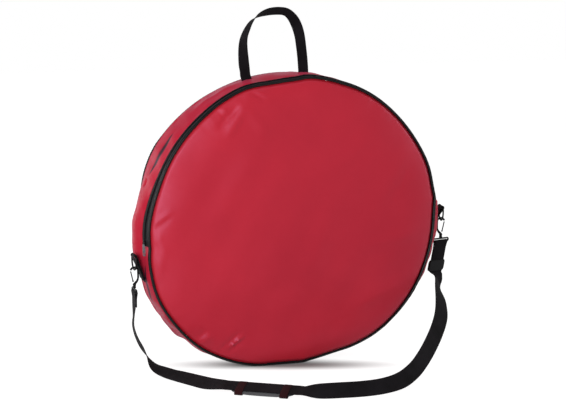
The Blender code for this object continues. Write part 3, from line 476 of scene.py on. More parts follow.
# size and depth close the pad towards its ends; flat and thick are its section.
s = np.sin(np.linspace(-np.pi / 2, np.pi / 2, 61))
round_ = np.linspace(0.0, 2 * np.pi, 40, endpoint=False)
size = (1 - np.abs(s) ** 3.2) ** (1 / 2.4)
flat = np.sign(np.cos(round_)) * np.abs(np.cos(round_)) ** 0.55
thick = np.sign(np.sin(round_)) * np.abs(np.sin(round_)) ** 0.8
depth = PAD_THICKNESS / 2 * (1 - np.abs(s) ** 6) ** 0.5
pad_middle = pad_centre - pad_wide * PAD_DROP - pad_out * (rest_height + PAD_THICKNESS / 2)
grid = (
    pad_middle
    + pad_along * (s * PAD_LENGTH / 2)[:, None, None]
    + pad_wide * (size[:, None] * flat * PAD_WIDTH / 2)[..., None]
    + pad_out * (depth[:, None] * thick)[..., None]
)
shoulder_pad = grid_mesh("shoulder_pad_cushion", grid, [pad_cloth], ends="pole")
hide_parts("shoulder_pad")
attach(shoulder_pad, "pad")

top = rest_height + 2 * TOUCH_GAP
low_edge = PAD_DROP + PAD_WIDTH / 2 + 2 * TOUCH_GAP
high_edge = STRAP_WIDTH / 2 + 2 * TOUCH_GAP
bottom = -(rest_height + PAD_THICKNESS + TOUCH_GAP)
ring = np.array([
    (high_edge, bottom), (high_edge, top), (-high_edge, top), (-0.93 * low_edge, -rest_height),
    (-low_edge, bottom / 2), (-0.93 * low_edge, bottom),
])
for name, sign in (("left", -1), ("right", 1)):
    middle = pad_centre + pad_along * sign * (PAD_LENGTH / 2 - KEEPER_INSET - KEEPER_LENGTH / 2)
    loop = np.vstack([np.linspace(a, b, 7)[:-1] for a, b in zip(ring, np.roll(ring, -1, axis=0))])
    # Averaging each point with its neighbours, twice, softens the loop's corners.
    for _ in range(2):
        loop = (np.roll(loop, 1, axis=0) + 2 * loop + np.roll(loop, -1, axis=0)) / 4
    away = unit(loop - loop.mean(axis=0))
    grid = [
        middle + pad_along * t * KEEPER_LENGTH
        + pad_wide * (loop + away * (lift * KEEPER_WALL))[:, 0:1]
        + pad_out * (loop + away * (lift * KEEPER_WALL))[:, 1:2]
        for lift, t in KEEPER_SECTION
    ]
    keeper = grid_mesh(f"pad_band_{name}", np.stack(grid, axis=1), [maroon_webbing], closed=True)
    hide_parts(f"pad_keeper_{name}")
    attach(keeper, "pad")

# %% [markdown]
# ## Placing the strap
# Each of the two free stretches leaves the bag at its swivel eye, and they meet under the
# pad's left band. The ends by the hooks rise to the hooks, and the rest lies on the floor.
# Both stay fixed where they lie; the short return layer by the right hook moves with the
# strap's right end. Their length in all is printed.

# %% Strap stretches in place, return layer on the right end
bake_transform(strap_left)
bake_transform(strap_right)
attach(strap_return, "strap_end_right")
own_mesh(strap_return)
print("strap in all", round(path_length(left_path) + path_length(right_path), 3), "m")

# %% [markdown]
# ## The seam line
# Both faces are sewn to the side band along one line. It is a circle over the top and sags
# to a flat at the floor. The line is given as radii at a few angles; every soft piece of the
# bag is worked out from it, so they all meet.

# %% Seam line
SEAM_RADIUS, ARC_HEIGHT, DEPTH, CROWN, PIPING_RADIUS = 0.350, 0.330, 0.112, 0.019, 0.003
CLOTH, FOAM, LINING, SIDE_CLOTH, BULGE = 0.0010, 0.0050, 0.0008, 0.0015, 0.010
ZIP_LEFT, ZIP_RIGHT, ZIP_STUB = 182.4, 11.6, 2.8
TAPE_WIDTH, TAPE_GAP, TAPE_THICKNESS, TAPE_SINK = 0.0115, 0.0018, 0.0008, -0.0002
# The band lies flat below FADE_HEIGHT. It stands out LOWER_SWELL times as far below the zip,
# and passes from one form to the other within ZIP_FADE degrees of the zip's ends.
FADE_HEIGHT, LOWER_SWELL, ZIP_FADE = 0.070, 1.25, 22.0
SEAM_STEPS = 720
BAND_FRONT = -DEPTH / 2 + PIPING_RADIUS + TOUCH_GAP
BAND_BACK = -BAND_FRONT
ZIP_BACK = BAND_FRONT + 2 * TAPE_WIDTH + TAPE_GAP
ZIP_MIDDLE = (BAND_FRONT + ZIP_BACK) / 2
OUTLINE = [
    (186, 1.000), (194, 1.028), (204, 1.052), (216, 1.050), (228, 1.040), (240, 1.010), (249, 0.984),
    (256, 0.962), (264, 0.940), (272.5, 0.9355), (277, 0.926), (286, 0.920), (296, 0.933), (308, 0.950),
    (324, 0.958), (342, 0.962), (354, 0.968), (360, 0.973), (365, 0.986), (368.5, 1.000),
]
SWELL = [
    (0, 1.0), (30, 0.8), (60, 0.5), (90, 0.3), (120, 0.3), (150, 0.3), (164, 0.9), (172, 1.5), (179, 2.0),
    (185, 2.2), (191, 1.8), (198, 0.9), (215, 0.6), (240, 0.5), (262, 0.5), (290, 0.6), (315, 0.7),
    (335, 1.1), (360, 1.0),
]
FRONT_SHIFT = [
    (0, 0.0025), (8, 0.0), (14, -0.0005), (22, 0.0030), (35, 0.0025), (55, 0.0040), (65, 0.0025),
    (72, 0.0005), (84, 0.0), (90, -0.0060), (96, -0.0080), (101, -0.0075), (107, -0.0035), (112, -0.0015),
    (122, -0.0025), (132, -0.0045), (150, -0.0045), (162, -0.0040), (170, -0.0005), (177, 0.0035),
    (184, 0.0045), (190, 0.0040), (196, 0.0010), (205, -0.0010), (222, -0.0015), (235, 0.0005), (247, 0.0015),
    (254, 0.0020), (262, 0.0), (286, 0.0), (296, 0.0015), (316, 0.0020), (338, 0.0030), (360, 0.0030),
]
ZIP_RISES = [
    (0, 0.0020), (40, 0.0), (70, 0.0), (90, 0.0010), (106, 0.0), (150, 0.0005), (164, 0.0035), (178, 0.0060),
    (196, 0.0060), (300, 0.0040), (360, 0.0020),
]
FRONT_ROLL = [
    (0, 0.0125), (4, 0.0130), (7, 0.0110), (8.7, 0.0), (9, 0.0), (100, 0.0), (200, 0.0), (320, 0.0),
    (327, 0.0012), (332, 0.0022), (342, 0.0032), (352, 0.0070), (360, 0.0125),
]
ROLL_DEPTH, ROLL_WIDTH = 0.016, 0.012
BACK_GROWTH = [
    (0, 0.0), (100, 0.0), (128, 0.015), (148, 0.031), (164, 0.018), (178, 0.004), (192, 0.0), (215, 0.0),
    (360, 0.0),
]


def table_at(table, angles):
    """A table of angles and values, joined by a smooth curve, read at any angles in degrees."""
    rows = smooth(table, 4)
    return np.interp(np.asarray(angles, dtype=float) % 360.0, rows[:, 0], rows[:, 1])


def seam_line():
    """Seam points (x, z) and outward normals: centre + radius * share * direction, kept off the floor."""
    angles = np.linspace(0.0, 360.0, SEAM_STEPS, endpoint=False)
    rows = smooth(OUTLINE, 96)
    share = np.interp(angles + 360.0 * (angles < OUTLINE[0][0]), rows[:, 0], rows[:, 1], left=1.0, right=1.0)
    a = np.radians(angles)
    x = SEAM_RADIUS * share * np.cos(a)
    z = np.maximum(ARC_HEIGHT + SEAM_RADIUS * share * np.sin(a), PIPING_RADIUS)
    tangent = unit(np.stack([np.roll(x, -4) - np.roll(x, 4), np.roll(z, -4) - np.roll(z, 4)], axis=1))
    normals = np.stack([tangent[:, 1], -tangent[:, 0]], axis=1)
    normals[z <= PIPING_RADIUS] = (0.0, -1.0)
    return np.append(angles, 360.0), np.stack([x, z], axis=1), normals


SEAM_ANGLES, SEAM_POINTS, SEAM_NORMALS = seam_line()


def seam_at(angles):
    """Seam points and outward normals at any angles, read between the seam line's own."""
    a = np.asarray(angles, dtype=float) % 360.0
    points, normals = (np.vstack([rows, rows[:1]]) for rows in (SEAM_POINTS, SEAM_NORMALS))
    point = np.stack([np.interp(a, SEAM_ANGLES, points[:, k]) for k in (0, 1)], axis=-1)
    normal = unit(np.stack([np.interp(a, SEAM_ANGLES, normals[:, k]) for k in (0, 1)], axis=-1))
    return point, normal


def ease(value):
    """0 below 0, 1 above 1, and an even S between."""
    t = np.clip(value, 0.0, 1.0)
    return t * t * (3 - 2 * t)


def band_offset(y, angles, points):
    """How far the side band's outside stands from the seam line, at depths y and angles."""
    fade = ease(points[..., 1] / FADE_HEIGHT)
    swell = BULGE * table_at(SWELL, angles) * fade
    whole = np.clip((y - BAND_FRONT) / (BAND_BACK - BAND_FRONT), 0.0, 1.0)
    behind = (y - ZIP_BACK) / (BAND_BACK - ZIP_BACK)
    rise, shift = table_at(ZIP_RISES, angles), table_at(FRONT_SHIFT, angles)
    before = rise * (y - BAND_FRONT) / (ZIP_BACK - BAND_FRONT) + shift
    after = (rise + shift) * (1 - behind) + swell * np.sin(np.pi * np.clip(behind, 0.0, 1.0))
    with_zip = np.where(behind < 0, before, after)
    plain = LOWER_SWELL * swell * np.sin(np.pi * whole) ** 0.7 + shift * (1 - whole)
    start = (np.asarray(angles, dtype=float) - ZIP_LEFT - ZIP_STUB) % 360.0
    span = (ZIP_RIGHT - ZIP_LEFT - 2 * ZIP_STUB) % 360.0
    lower = ease(np.where(start < span, np.minimum(start, span - start), 0.0) / ZIP_FADE)
    growth = SEAM_RADIUS * table_at(BACK_GROWTH, angles) * np.maximum(behind, 0.0)
    roll = np.interp(np.asarray(angles, dtype=float) % 360.0, *np.array(FRONT_ROLL).T)
    roll = roll * np.exp(-(((y - BAND_FRONT - ROLL_DEPTH) / ROLL_WIDTH) ** 2))
    return PIPING_RADIUS + with_zip * (1 - lower) * fade + plain * lower + growth + roll


print("seam length", round(path_length(np.vstack([SEAM_POINTS, SEAM_POINTS[:1]])), 3), "m")

# %% [markdown]
# ## Coated polyester
# The red cloth is a polyester weave with a polyurethane coat. The coat fills the weave, so
# the cloth is nearly smooth. Its reflection is wide and soft, and slightly pink where the
# cloth turns to the light, which a tint on the shader's specular and sheen gives. The faces
# were pressed flat and reflect more than the side band. Threads are 0.5 mm apart; here they
# are drawn 1.5 mm apart and faint. The faces read Object coordinates, so the weave stays
# straight on a round panel. The side band reads its UV map, so the weave goes round with it.
# An attribute worked out with the band paints shade into its two deep creases.

# %% Cloth materials
# The last colour is painted shade, mixed into the band along its two deep folds.
CLOTH_THREAD, SHEEN_TINT, GLOSS_TINT, CREASE_SHADE_COLOUR = 0.0015, "#F0B0F0", "#F0C4F4", "#241A1E"


def coated_cloth(name, dark, light, gloss, sheen, on_map=False):
    """Coated woven cloth: colour clouds, faint threads and fine crumple as bump, a pink sheen, and painted
    shade along marked folds.
    """
    material, tree, shader = start_material(
        name, Roughness=0.42, Specular_IOR_Level=gloss, Sheen_Weight=sheen, Sheen_Roughness=0.5,
    )
    shader.inputs["Sheen Tint"].default_value = linear(SHEEN_TINT)
    shader.inputs["Specular Tint"].default_value = linear(GLOSS_TINT)
    place = add(tree, "ShaderNodeTexCoord")
    source = add(tree, "ShaderNodeUVMap", uv_map="cloth").outputs["UV"] if on_map else place.outputs["Object"]
    scale = WAVE_SCALE / CLOTH_THREAD
    warp = add(
        tree, "ShaderNodeTexWave", values={"Scale": scale}, links={"Vector": source}, bands_direction="X",
    )
    weft = add(
        tree, "ShaderNodeTexWave", values={"Scale": scale}, links={"Vector": source},
        bands_direction="Y" if on_map else "Z",
    )
    threads = add(
        tree, "ShaderNodeMath", links={0: warp.outputs["Fac"], 1: weft.outputs["Fac"]}, operation="ADD",
    )
    cloud = add(
        tree, "ShaderNodeTexNoise", values={"Scale": 5.0, "Detail": 5.0, "Roughness": 0.55},
        links={"Vector": place.outputs["Object"]},
    )
    crumple = add(
        tree, "ShaderNodeTexNoise", values={"Scale": 55.0, "Detail": 3.0, "Distortion": 0.6},
        links={"Vector": place.outputs["Object"]},
    )
    colour = add(
        tree, "ShaderNodeValToRGB", links={"Fac": cloud.outputs["Fac"]}, stops=((0.30, dark), (0.70, light)),
    )
    # Painted shade: an attribute darkens the base colour along the band's two deep folds.
    crease_shade = add(tree, "ShaderNodeAttribute", attribute_name="crease_shade")
    mixed = add(
        tree, "ShaderNodeMixRGB", values={"Color2": linear(CREASE_SHADE_COLOUR)},
        links={"Fac": crease_shade.outputs["Fac"], "Color1": colour.outputs["Color"]},
    )
    rough = add(
        tree, "ShaderNodeMapRange", values={"To Min": 0.36, "To Max": 0.46},
        links={"Value": crumple.outputs["Fac"]},
    )
    height = add(
        tree, "ShaderNodeMath", values={1: 0.12}, links={0: threads.outputs[0], 2: crumple.outputs["Fac"]},
        operation="MULTIPLY_ADD",
    )
    bump = add(
        tree, "ShaderNodeBump", values={"Strength": 0.22, "Distance": 0.0012},
        links={"Height": height.outputs[0]},
    )
    tree.links.new(mixed.outputs["Color"], shader.inputs["Base Color"])
    tree.links.new(rough.outputs["Result"], shader.inputs["Roughness"])
    tree.links.new(bump.outputs["Normal"], shader.inputs["Normal"])
    return material


face_cloth = coated_cloth("coated_polyester_face", "#B61A28", "#C2212F", 0.50, 0.05)
band_cloth = coated_cloth("coated_polyester_band", "#BA1B2F", "#C62239", 0.06, 0.10, on_map=True)
# Thin calendered nylon: black, with a slight sheen, so the inside looks darker than the strap.
lining_cloth = woven_material("black_nylon_lining", "#1B1B1E", "#303034", 0.0015, 0.6, 0.1)
# Extruded vinyl over a cord: near black, with a thin gloss that draws a line along its crown.
piping_vinyl, tree, shader = start_material(
    "vinyl_piping", Roughness=0.50, Specular_IOR_Level=0.04, Coat_Weight=0.28, Coat_Roughness=0.20,
)
place = add(tree, "ShaderNodeTexCoord")
scuff = add(
    tree, "ShaderNodeTexNoise", values={"Scale": 60.0, "Detail": 3.0},
    links={"Vector": place.outputs["Object"]},
)
colour = add(
    tree, "ShaderNodeValToRGB", links={"Fac": scuff.outputs["Fac"]},
    stops=((0.35, "#070708"), (0.75, "#121214")),
)
tree.links.new(colour.outputs["Color"], shader.inputs["Base Color"])
bump = add(
    tree, "ShaderNodeBump", values={"Strength": 0.25, "Distance": 0.0005},
    links={"Height": scuff.outputs["Fac"]},
)
tree.links.new(bump.outputs["Normal"], shader.inputs["Normal"])
print("cloth materials made")

# %% [markdown]
# ## The two faces
# Each face is a padded panel: red cloth outside, foam, and black lining inside. It is highest
# in the middle, turns down into the piping at its rim, and has broad soft waves, a few folds
# and small puckers along the seam. The height at a point is a plain sum of such terms. There
# is no simulation: the folds of this bag lie where the photograph shows them.

# %% Face panels
RIM_ROLL, ROLL_START = 0.0035, 0.982  # how far a rim turns down, and from which share of the radius
WAVES = [
    (0.0016, 0.31, 20, 0.4), (0.0012, 0.22, 105, 1.9), (0.0008, 0.145, 62, 4.1), (0.0005, 0.085, 150, 0.7),
]
FRONT_FOLDS = [
    (-0.168, 0.593, 46, 0.060, 0.0080, -0.0042), (-0.150, 0.583, 58, 0.070, 0.0100, 0.0034),
    (-0.0934, 0.6485, 153, 0.026, 0.0045, 0.0034), (-0.098, 0.6405, 150, 0.034, 0.0050, -0.0034),
    (-0.181, 0.6095, 137, 0.024, 0.0045, 0.0030), (-0.186, 0.603, 137, 0.028, 0.0045, -0.0030),
    (-0.105, 0.587, 131, 0.080, 0.0140, 0.0026), (-0.327, 0.352, 36, 0.046, 0.0060, -0.0024),
    (-0.324, 0.3635, 36, 0.046, 0.0080, 0.0020), (-0.3336, 0.3164, 70, 0.024, 0.0090, 0.0018),
    (-0.324, 0.290, 110, 0.030, 0.0100, 0.0018), (-0.330, 0.255, 95, 0.030, 0.0090, 0.0016),
    (-0.170, 0.0593, 44, 0.064, 0.0060, -0.0050), (-0.1643, 0.0559, 38, 0.060, 0.0050, 0.0056),
    (-0.1584, 0.0520, 32, 0.058, 0.0045, -0.0044), (-0.2258, 0.0731, 39, 0.034, 0.0100, 0.0044),
    (-0.238, 0.082, 39, 0.034, 0.0080, -0.0034), (-0.140, 0.440, 60, 0.200, 0.0300, 0.0020),
    (0.060, 0.330, 75, 0.240, 0.0300, 0.0020), (0.200, 0.160, 25, 0.150, 0.0200, 0.0022),
    (0.235, 0.290, 12, 0.110, 0.0140, 0.0018), (0.250, 0.420, 60, 0.100, 0.0160, -0.0016),
    (0.130, 0.500, 45, 0.120, 0.0180, 0.0018), (-0.060, 0.180, 20, 0.200, 0.0260, -0.0018),
]
BACK_FOLDS = [
    (0.150, 0.600, 60, 0.08, 0.012, 0.003), (-0.200, 0.100, 140, 0.09, 0.014, 0.003),
    (0.240, 0.300, 90, 0.14, 0.014, 0.002),
]


def waves(x, z, rows):
    """Sum of amplitude * sin(2 pi * distance along the heading / wavelength + phase)."""
    total = 0.0
    for height, span, heading, phase in rows:
        a = np.radians(heading)
        total = total + height * np.sin(2 * np.pi * (x * np.cos(a) + z * np.sin(a)) / span + phase)
    return total


def folds(x, z, rows):
    """Sum of soft ridges: height * bell of the distance across * bell of the distance along."""
    total = 0.0
    for at_x, at_z, heading, length, width, height in rows:
        a = np.radians(heading)
        along = (x - at_x) * np.cos(a) + (z - at_z) * np.sin(a)
        off = (z - at_z) * np.cos(a) - (x - at_x) * np.sin(a)
        total = total + height * np.exp(-((off / width) ** 2) - (along / (0.55 * length)) ** 4)
    return total


def puckers(angles, depth, seed, height=0.0009, reach=0.020, count=150):
    """Short gathers square to a seam: narrow bells at seeded places, fading over reach metres."""
    rng = np.random.default_rng(seed)
    at, width = rng.uniform(0, 360, count), rng.uniform(0.35, 1.1, count)
    tall, far = height * rng.uniform(-1, 1, count), reach * rng.uniform(0.5, 1.6, count)
    gap = (angles[..., None] - at + 180.0) % 360.0 - 180.0
    return (tall * np.exp(-((gap / width) ** 2)) * np.exp(-((depth[..., None] / far) ** 2))).sum(axis=-1)


def face_points(side, shares, angles, start, folds_table, seed, rim_roll=RIM_ROLL):
    """Points of one layer: rim * share, pushed out by the crown, waves, folds and puckers."""
    growth = SEAM_RADIUS * table_at(BACK_GROWTH, angles) if side > 0 else table_at(FRONT_SHIFT, angles)
    points, normals = seam_at(angles)
    rim = points + normals * (growth - PIPING_RADIUS - TOUCH_GAP)[:, None]
    centre = np.array([0.0, ARC_HEIGHT])
    s = shares[:, None, None]
    flat = centre + (rim - centre) * s
    x, z = flat[..., 0], flat[..., 1]
    calm = 1 - shares[:, None] ** 8
    from_seam = (1 - shares[:, None]) * SEAM_RADIUS * np.ones(len(angles))
    # A fifth of the crown falls like a bowl, and four fifths of it close to the rim.
    lift = CROWN * (1 - 0.2 * shares[:, None] ** 2 - 0.8 * shares[:, None] ** 9)
    lift = lift - rim_roll * ease((shares[:, None] - ROLL_START) / (1 - ROLL_START))
    lift = lift + waves(x, z, WAVES) * calm + folds(x, z, folds_table) * (1 - shares[:, None] ** 30)
    lift = lift + puckers(np.broadcast_to(angles, x.shape), from_seam, seed) * ease(from_seam / 0.004)
    y = side * (DEPTH / 2 + CLOTH / 2 - start + lift)
    return np.stack([x, y, z], axis=-1)


def make_face(name, side, folds_table, seed, nodes, columns=320, rows=64):
    """A padded panel: outer layer from middle to rim, then the inner layer back to the middle."""
    angles = np.linspace(0.0, 360.0, columns, endpoint=False)
    # Rows lie closer together near the rim, and the inner layer stops a little short of it.
    shares = 1 - (1 - np.linspace(0.0, 1.0, rows)) ** 1.35
    outer = face_points(side, shares, angles, 0.0, folds_table, seed)
    thickness = CLOTH + FOAM + LINING + 2 * TOUCH_GAP
    inner_shares = np.minimum(shares[::2], 0.992)
    inner = face_points(side, inner_shares, angles, thickness, folds_table, seed, 0.0)[::-1]
    piece = grid_mesh(
        name, np.concatenate([outer, inner]), [face_cloth, lining_cloth], ends="pole",
        inside=lambda r, c: r >= rows, sharp=70.0,
    )
    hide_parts(*nodes)
    return piece


front_face = make_face(
    "front_padded_face", -1, FRONT_FOLDS, 11,
    [
        "front_panel_lower", "front_panel_upper", "front_foam_lower", "front_foam_upper",
        "front_lining_lower", "front_lining_upper",
    ],
)
back_face = make_face(
    "back_padded_face", 1, BACK_FOLDS, 12, ["back_panel", "back_foam", "back_lining"], 240, 48,
)
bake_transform(front_face)
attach(back_face, "bag")

# %% [markdown]
# ## The side band
# The band joins both faces. Below the zip it is one strip of cloth; above it only the part
# behind the zip is cloth. It stands out between its seams, with gathers square to the seams
# and a few soft folds along it.

# %% Side band
BAND_FOLDS = [
    (150.5, 0.006, 10.0, 0.010, -0.0014), (162.5, 0.011, 1.6, 0.006, -0.0042),
    (204.0, 0.002, 9.0, 0.005, -0.0030), (218.0, -0.010, 5.0, 0.012, 0.0030),
    (226.0, 0.0, 2.5, 0.030, -0.0040), (120.0, 0.010, 10.0, 0.010, 0.0015),
    (236.0, 0.005, 4.0, 0.020, 0.0025),
]
BAND_SEED = 21
RIPPLES = [(0.0007, 41, 30, 0.0), (0.0006, 23, -55, 1.0)]
# Lines of painted shade along the band's two deep folds.
CREASE_SHADES = [(150.5, 0.006, 9.5, 0.0078, 0.0), (199.5, -0.030, 8.0, 0.0055, 0.0009)]


def band_layer(angles, depths, inset):
    """Outer points of the band: seam + normal * (offset + gathers + folds - inset)."""
    points, normals = seam_at(angles)
    a, y = np.broadcast_arrays(angles[:, None], depths[None, :])
    where = np.broadcast_to(points[:, None], (*a.shape, 2))
    offset = band_offset(y, a, where)
    from_seam = np.minimum(y - depths[0], depths[-1] - y)
    # Folds fade out within 12 mm of a seam and within 50 mm of the floor.
    calm = ease(from_seam / 0.012) * ease(where[..., 1] / 0.05)
    to_seam = np.minimum(y - BAND_FRONT, BAND_BACK - y)
    relief = puckers(a, to_seam, BAND_SEED, height=0.0010, reach=0.018, count=170)
    rows = sum(
        h * np.exp(-(((a - at) / wide) ** 4) - ((y - mid) / deep) ** 2)
        for at, mid, wide, deep, h in BAND_FOLDS
    )
    ripple = sum(h * np.sin(np.radians(a) * turns + slant * y + phase) for h, turns, slant, phase in RIPPLES)
    reach = offset + (relief + rows + ripple) * calm - inset
    x = where[..., 0] + normals[:, None, 0] * reach
    z = np.maximum(where[..., 1] + normals[:, None, 1] * reach, inset)
    return np.stack([x, y, z], axis=-1)


def make_band(name, start, end, depths, node, columns):
    """Outer layer front to back, then the inner layer back to front, as one closed strip.

    An attribute of painted shade is 1 on the line of a fold and falls off as exp(-(distance / width)^4).
    """
    angles = np.linspace(start, end, columns)
    outer = band_layer(angles, depths, 0.0)
    inner = band_layer(angles, depths, SIDE_CLOTH)[:, ::-1]
    piece = grid_mesh(
        name, np.concatenate([outer, inner], axis=1), [band_cloth, lining_cloth],
        inside=lambda r, c: c >= len(depths), sharp=70.0,
    )
    co = np.array([v.co for v in piece.data.vertices])
    angle = np.degrees(np.arctan2(co[:, 2] - ARC_HEIGHT, co[:, 0])) % 360.0
    # Painted shade: how dark each point is drawn, greatest on the two fold lines.
    dark = np.zeros(len(co))
    for at, mid, half, wide, slope in CREASE_SHADES:
        line = mid + slope * (angle - at)
        taper = np.maximum(1 - ((angle - at) / half) ** 2, 0.0)
        dark = np.maximum(
            dark, np.exp(-(((co[:, 1] - line) / (wide * taper + 1e-6)) ** 4)) * ease(taper * 3.0),
        )
    piece.data.attributes.new("crease_shade", "FLOAT", "POINT").data.foreach_set("value", dark.astype(np.float32))
    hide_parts(node)
    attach(piece, "bag")
    return piece


full = BAND_FRONT + (BAND_BACK - BAND_FRONT) * np.linspace(0.0, 1.0, 49)
behind = (ZIP_BACK + TOUCH_GAP) + (BAND_BACK - ZIP_BACK - TOUCH_GAP) * np.linspace(0.0, 1.0, 41)
band_lower = make_band(
    "side_band_lower", ZIP_LEFT + ZIP_STUB, 360.0 + ZIP_RIGHT - ZIP_STUB, full, "gusset_lower", 460,
)
band_upper = make_band(
    "side_band_upper", ZIP_RIGHT - ZIP_STUB, ZIP_LEFT + ZIP_STUB, behind, "gusset_upper", 460,
)
print("side band", len(band_lower.data.polygons), len(band_upper.data.polygons), "faces")

# %% [markdown]
# ## Piping
# A bead of vinyl over a cord is sewn into each seam. It is a round section carried along the
# seam, pinched a little between stitches. The back bead is pushed out at the upper left, and
# the front bead is pressed thinner near the floor, each over a range of angles in degrees.

# %% Piping
PINCH, PINCHES, PINCH_CHANGES = 0.05, 210, 37  # share of the radius, how many, and how often they fade
PUSH, PUSH_AT, PUSH_HALF = 0.0026, 155.0, 9.0
PRESS, PRESS_AT, PRESS_HALF = 0.48, 285.0, 34.0


def bead(name, angles, y, offset, radius):
    """Round section round the seam: seam + normal * (offset + r cos) and depth y + r sin."""
    points, normals = seam_at(angles)
    t = np.linspace(0.0, 2 * np.pi, 12, endpoint=False)
    a = np.radians(angles)
    swell = np.asarray(radius) * (1 + PINCH * np.sin(a * PINCHES) * np.sin(a * PINCH_CHANGES))
    reach = np.asarray(offset).reshape(-1, 1) + swell[:, None] * np.cos(t)
    x = points[:, :1] + normals[:, :1] * reach
    z = points[:, 1:] + normals[:, 1:] * reach
    z = np.maximum(z, 0.0)
    grid = np.stack([x, y + swell[:, None] * np.sin(t), z], axis=-1)
    return grid_mesh(name, grid, [piping_vinyl], closed=True)


ring = np.linspace(0.0, 360.0, SEAM_STEPS, endpoint=False)
pushed = SEAM_RADIUS * table_at(BACK_GROWTH, ring) + PUSH * np.exp(-(((ring - PUSH_AT) / PUSH_HALF) ** 4))
back_piping = bead("back_piping_bead", ring, DEPTH / 2, pushed, PIPING_RADIUS)
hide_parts("back_piping")
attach(back_piping, "bag")
pressed = PIPING_RADIUS * (1 - PRESS * np.exp(-(((ring - PRESS_AT) / PRESS_HALF) ** 4)))
front_piping = bead(
    "front_piping_bead", ring, -DEPTH / 2, table_at(FRONT_SHIFT, ring) - (PIPING_RADIUS - pressed), pressed,
)
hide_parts("front_piping_lower", "front_piping_upper")
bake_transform(front_piping)
print("piping", len(back_piping.data.polygons) + len(front_piping.data.polygons), "faces")

# %% [markdown]
# ## Zip
# The zip has two woven polyester tapes, a row of bare nylon coil on each, a slider cast in
# zinc and painted black, and a grey moulded pull. Their finishes come first: cloth is matt,
# nylon has a narrow highlight, and paint on a casting is satin with small worn spots.

# %% Zip materials
# Dense herringbone tape: nearly black and matt, a little lighter than the coil's shadows.
zip_cloth = woven_material("woven_zip_tape", "#161618", "#2B2B2F", 0.0011, 0.75, 0.02)
# Drawn nylon filament: smooth enough for a weak highlight, which makes each turn show.
nylon, tree, shader = start_material(
    "nylon_coil", Roughness=0.40, Specular_IOR_Level=0.08, Coat_Weight=0.10, Coat_Roughness=0.2,
)
place = add(tree, "ShaderNodeTexCoord")
grime = add(
    tree, "ShaderNodeTexNoise", values={"Scale": 90.0, "Detail": 2.0},
    links={"Vector": place.outputs["Object"]},
)
colour = add(
    tree, "ShaderNodeValToRGB", links={"Fac": grime.outputs["Fac"]},
    stops=((0.35, "#0D0D0E"), (0.7, "#202023")),
)
tree.links.new(colour.outputs["Color"], shader.inputs["Base Color"])


def painted_metal(name, dark, light, worn, wear):
    """Die-cast zinc with black paint: satin, a little rough, and worn brighter in small spots."""
    material, tree, shader = start_material(
        name, Roughness=0.50, Specular_IOR_Level=0.10, Coat_Weight=0.05, Coat_Roughness=0.25,
    )
    place = add(tree, "ShaderNodeTexCoord")
    spots = add(
        tree, "ShaderNodeTexNoise", values={"Scale": 220.0, "Detail": 4.0},
        links={"Vector": place.outputs["Object"]},
    )
    base = add(
        tree, "ShaderNodeValToRGB", links={"Fac": spots.outputs["Fac"]}, stops=((0.3, dark), (0.7, light)),
    )
    rubbed = add(
        tree, "ShaderNodeMapRange", values={"From Min": wear, "From Max": wear + 0.12},
        links={"Value": spots.outputs["Fac"]},
    )
    mixed = add(
        tree, "ShaderNodeMixRGB", values={"Color2": linear(worn)},
        links={"Fac": rubbed.outputs["Result"], "Color1": base.outputs["Color"]},
    )
    tree.links.new(mixed.outputs["Color"], shader.inputs["Base Color"])
    bump = add(
        tree, "ShaderNodeBump", values={"Strength": 0.15, "Distance": 0.0003},
        links={"Height": spots.outputs["Fac"]},
    )
    tree.links.new(bump.outputs["Normal"], shader.inputs["Normal"])
    return material


black_metal = painted_metal("black_painted_zinc", "#060607", "#111113", "#55555A", 0.68)
pull_rubber = painted_metal("grey_moulded_pull", "#5E6064", "#7C7E83", "#A5A6AA", 0.70)
print("zip materials made")

# %% [markdown]
# ## Tapes and coils
# A coil is one filament wound round and round; seen from outside, each turn is a short bar
# across the tape. Hundreds of them are needed, so each is a small box of twelve points, and
# all of a row are worked out at once. Real turns are 1.3 mm apart; here they are 2.6 mm
# apart, because finer ones would not show.

# %% Zip tapes and coils
COIL_RADIUS, COIL_SPACING, COIL_PITCH, TURN_HALF = 0.0013, 0.0038, 0.0026, 0.00095
TAPE_WAVE, TAPE_WAVES = 0.00025, 160  # height of the tape's ripple and how many go round the seam


def tape_strip(name, front, back_):
    """A thin strip on the band's offset: seam + normal * (offset + sink), with a faint ripple."""
    angles = np.linspace(ZIP_RIGHT - ZIP_STUB, ZIP_LEFT + ZIP_STUB, 400)
    points, normals = seam_at(angles)
    depths = np.linspace(front, back_, 9)
    a, y = np.broadcast_arrays(angles[:, None], depths[None, :])
    where = np.broadcast_to(points[:, None], (*a.shape, 2))
    reach = band_offset(y, a, where) + TAPE_SINK
    wave = TAPE_WAVE * np.sin(np.radians(a) * TAPE_WAVES) * np.sin(np.pi * (y - front) / (back_ - front))
    layers = []
    for low in (0.0, TAPE_THICKNESS):
        out = reach - low + wave
        x, z = where[..., 0] + normals[:, None, 0] * out, where[..., 1] + normals[:, None, 1] * out
        layers.append(np.stack([x, y, z], axis=-1))
    grid = np.concatenate([layers[0], layers[1][:, ::-1]], axis=1)
    return grid_mesh(name, grid, [zip_cloth])


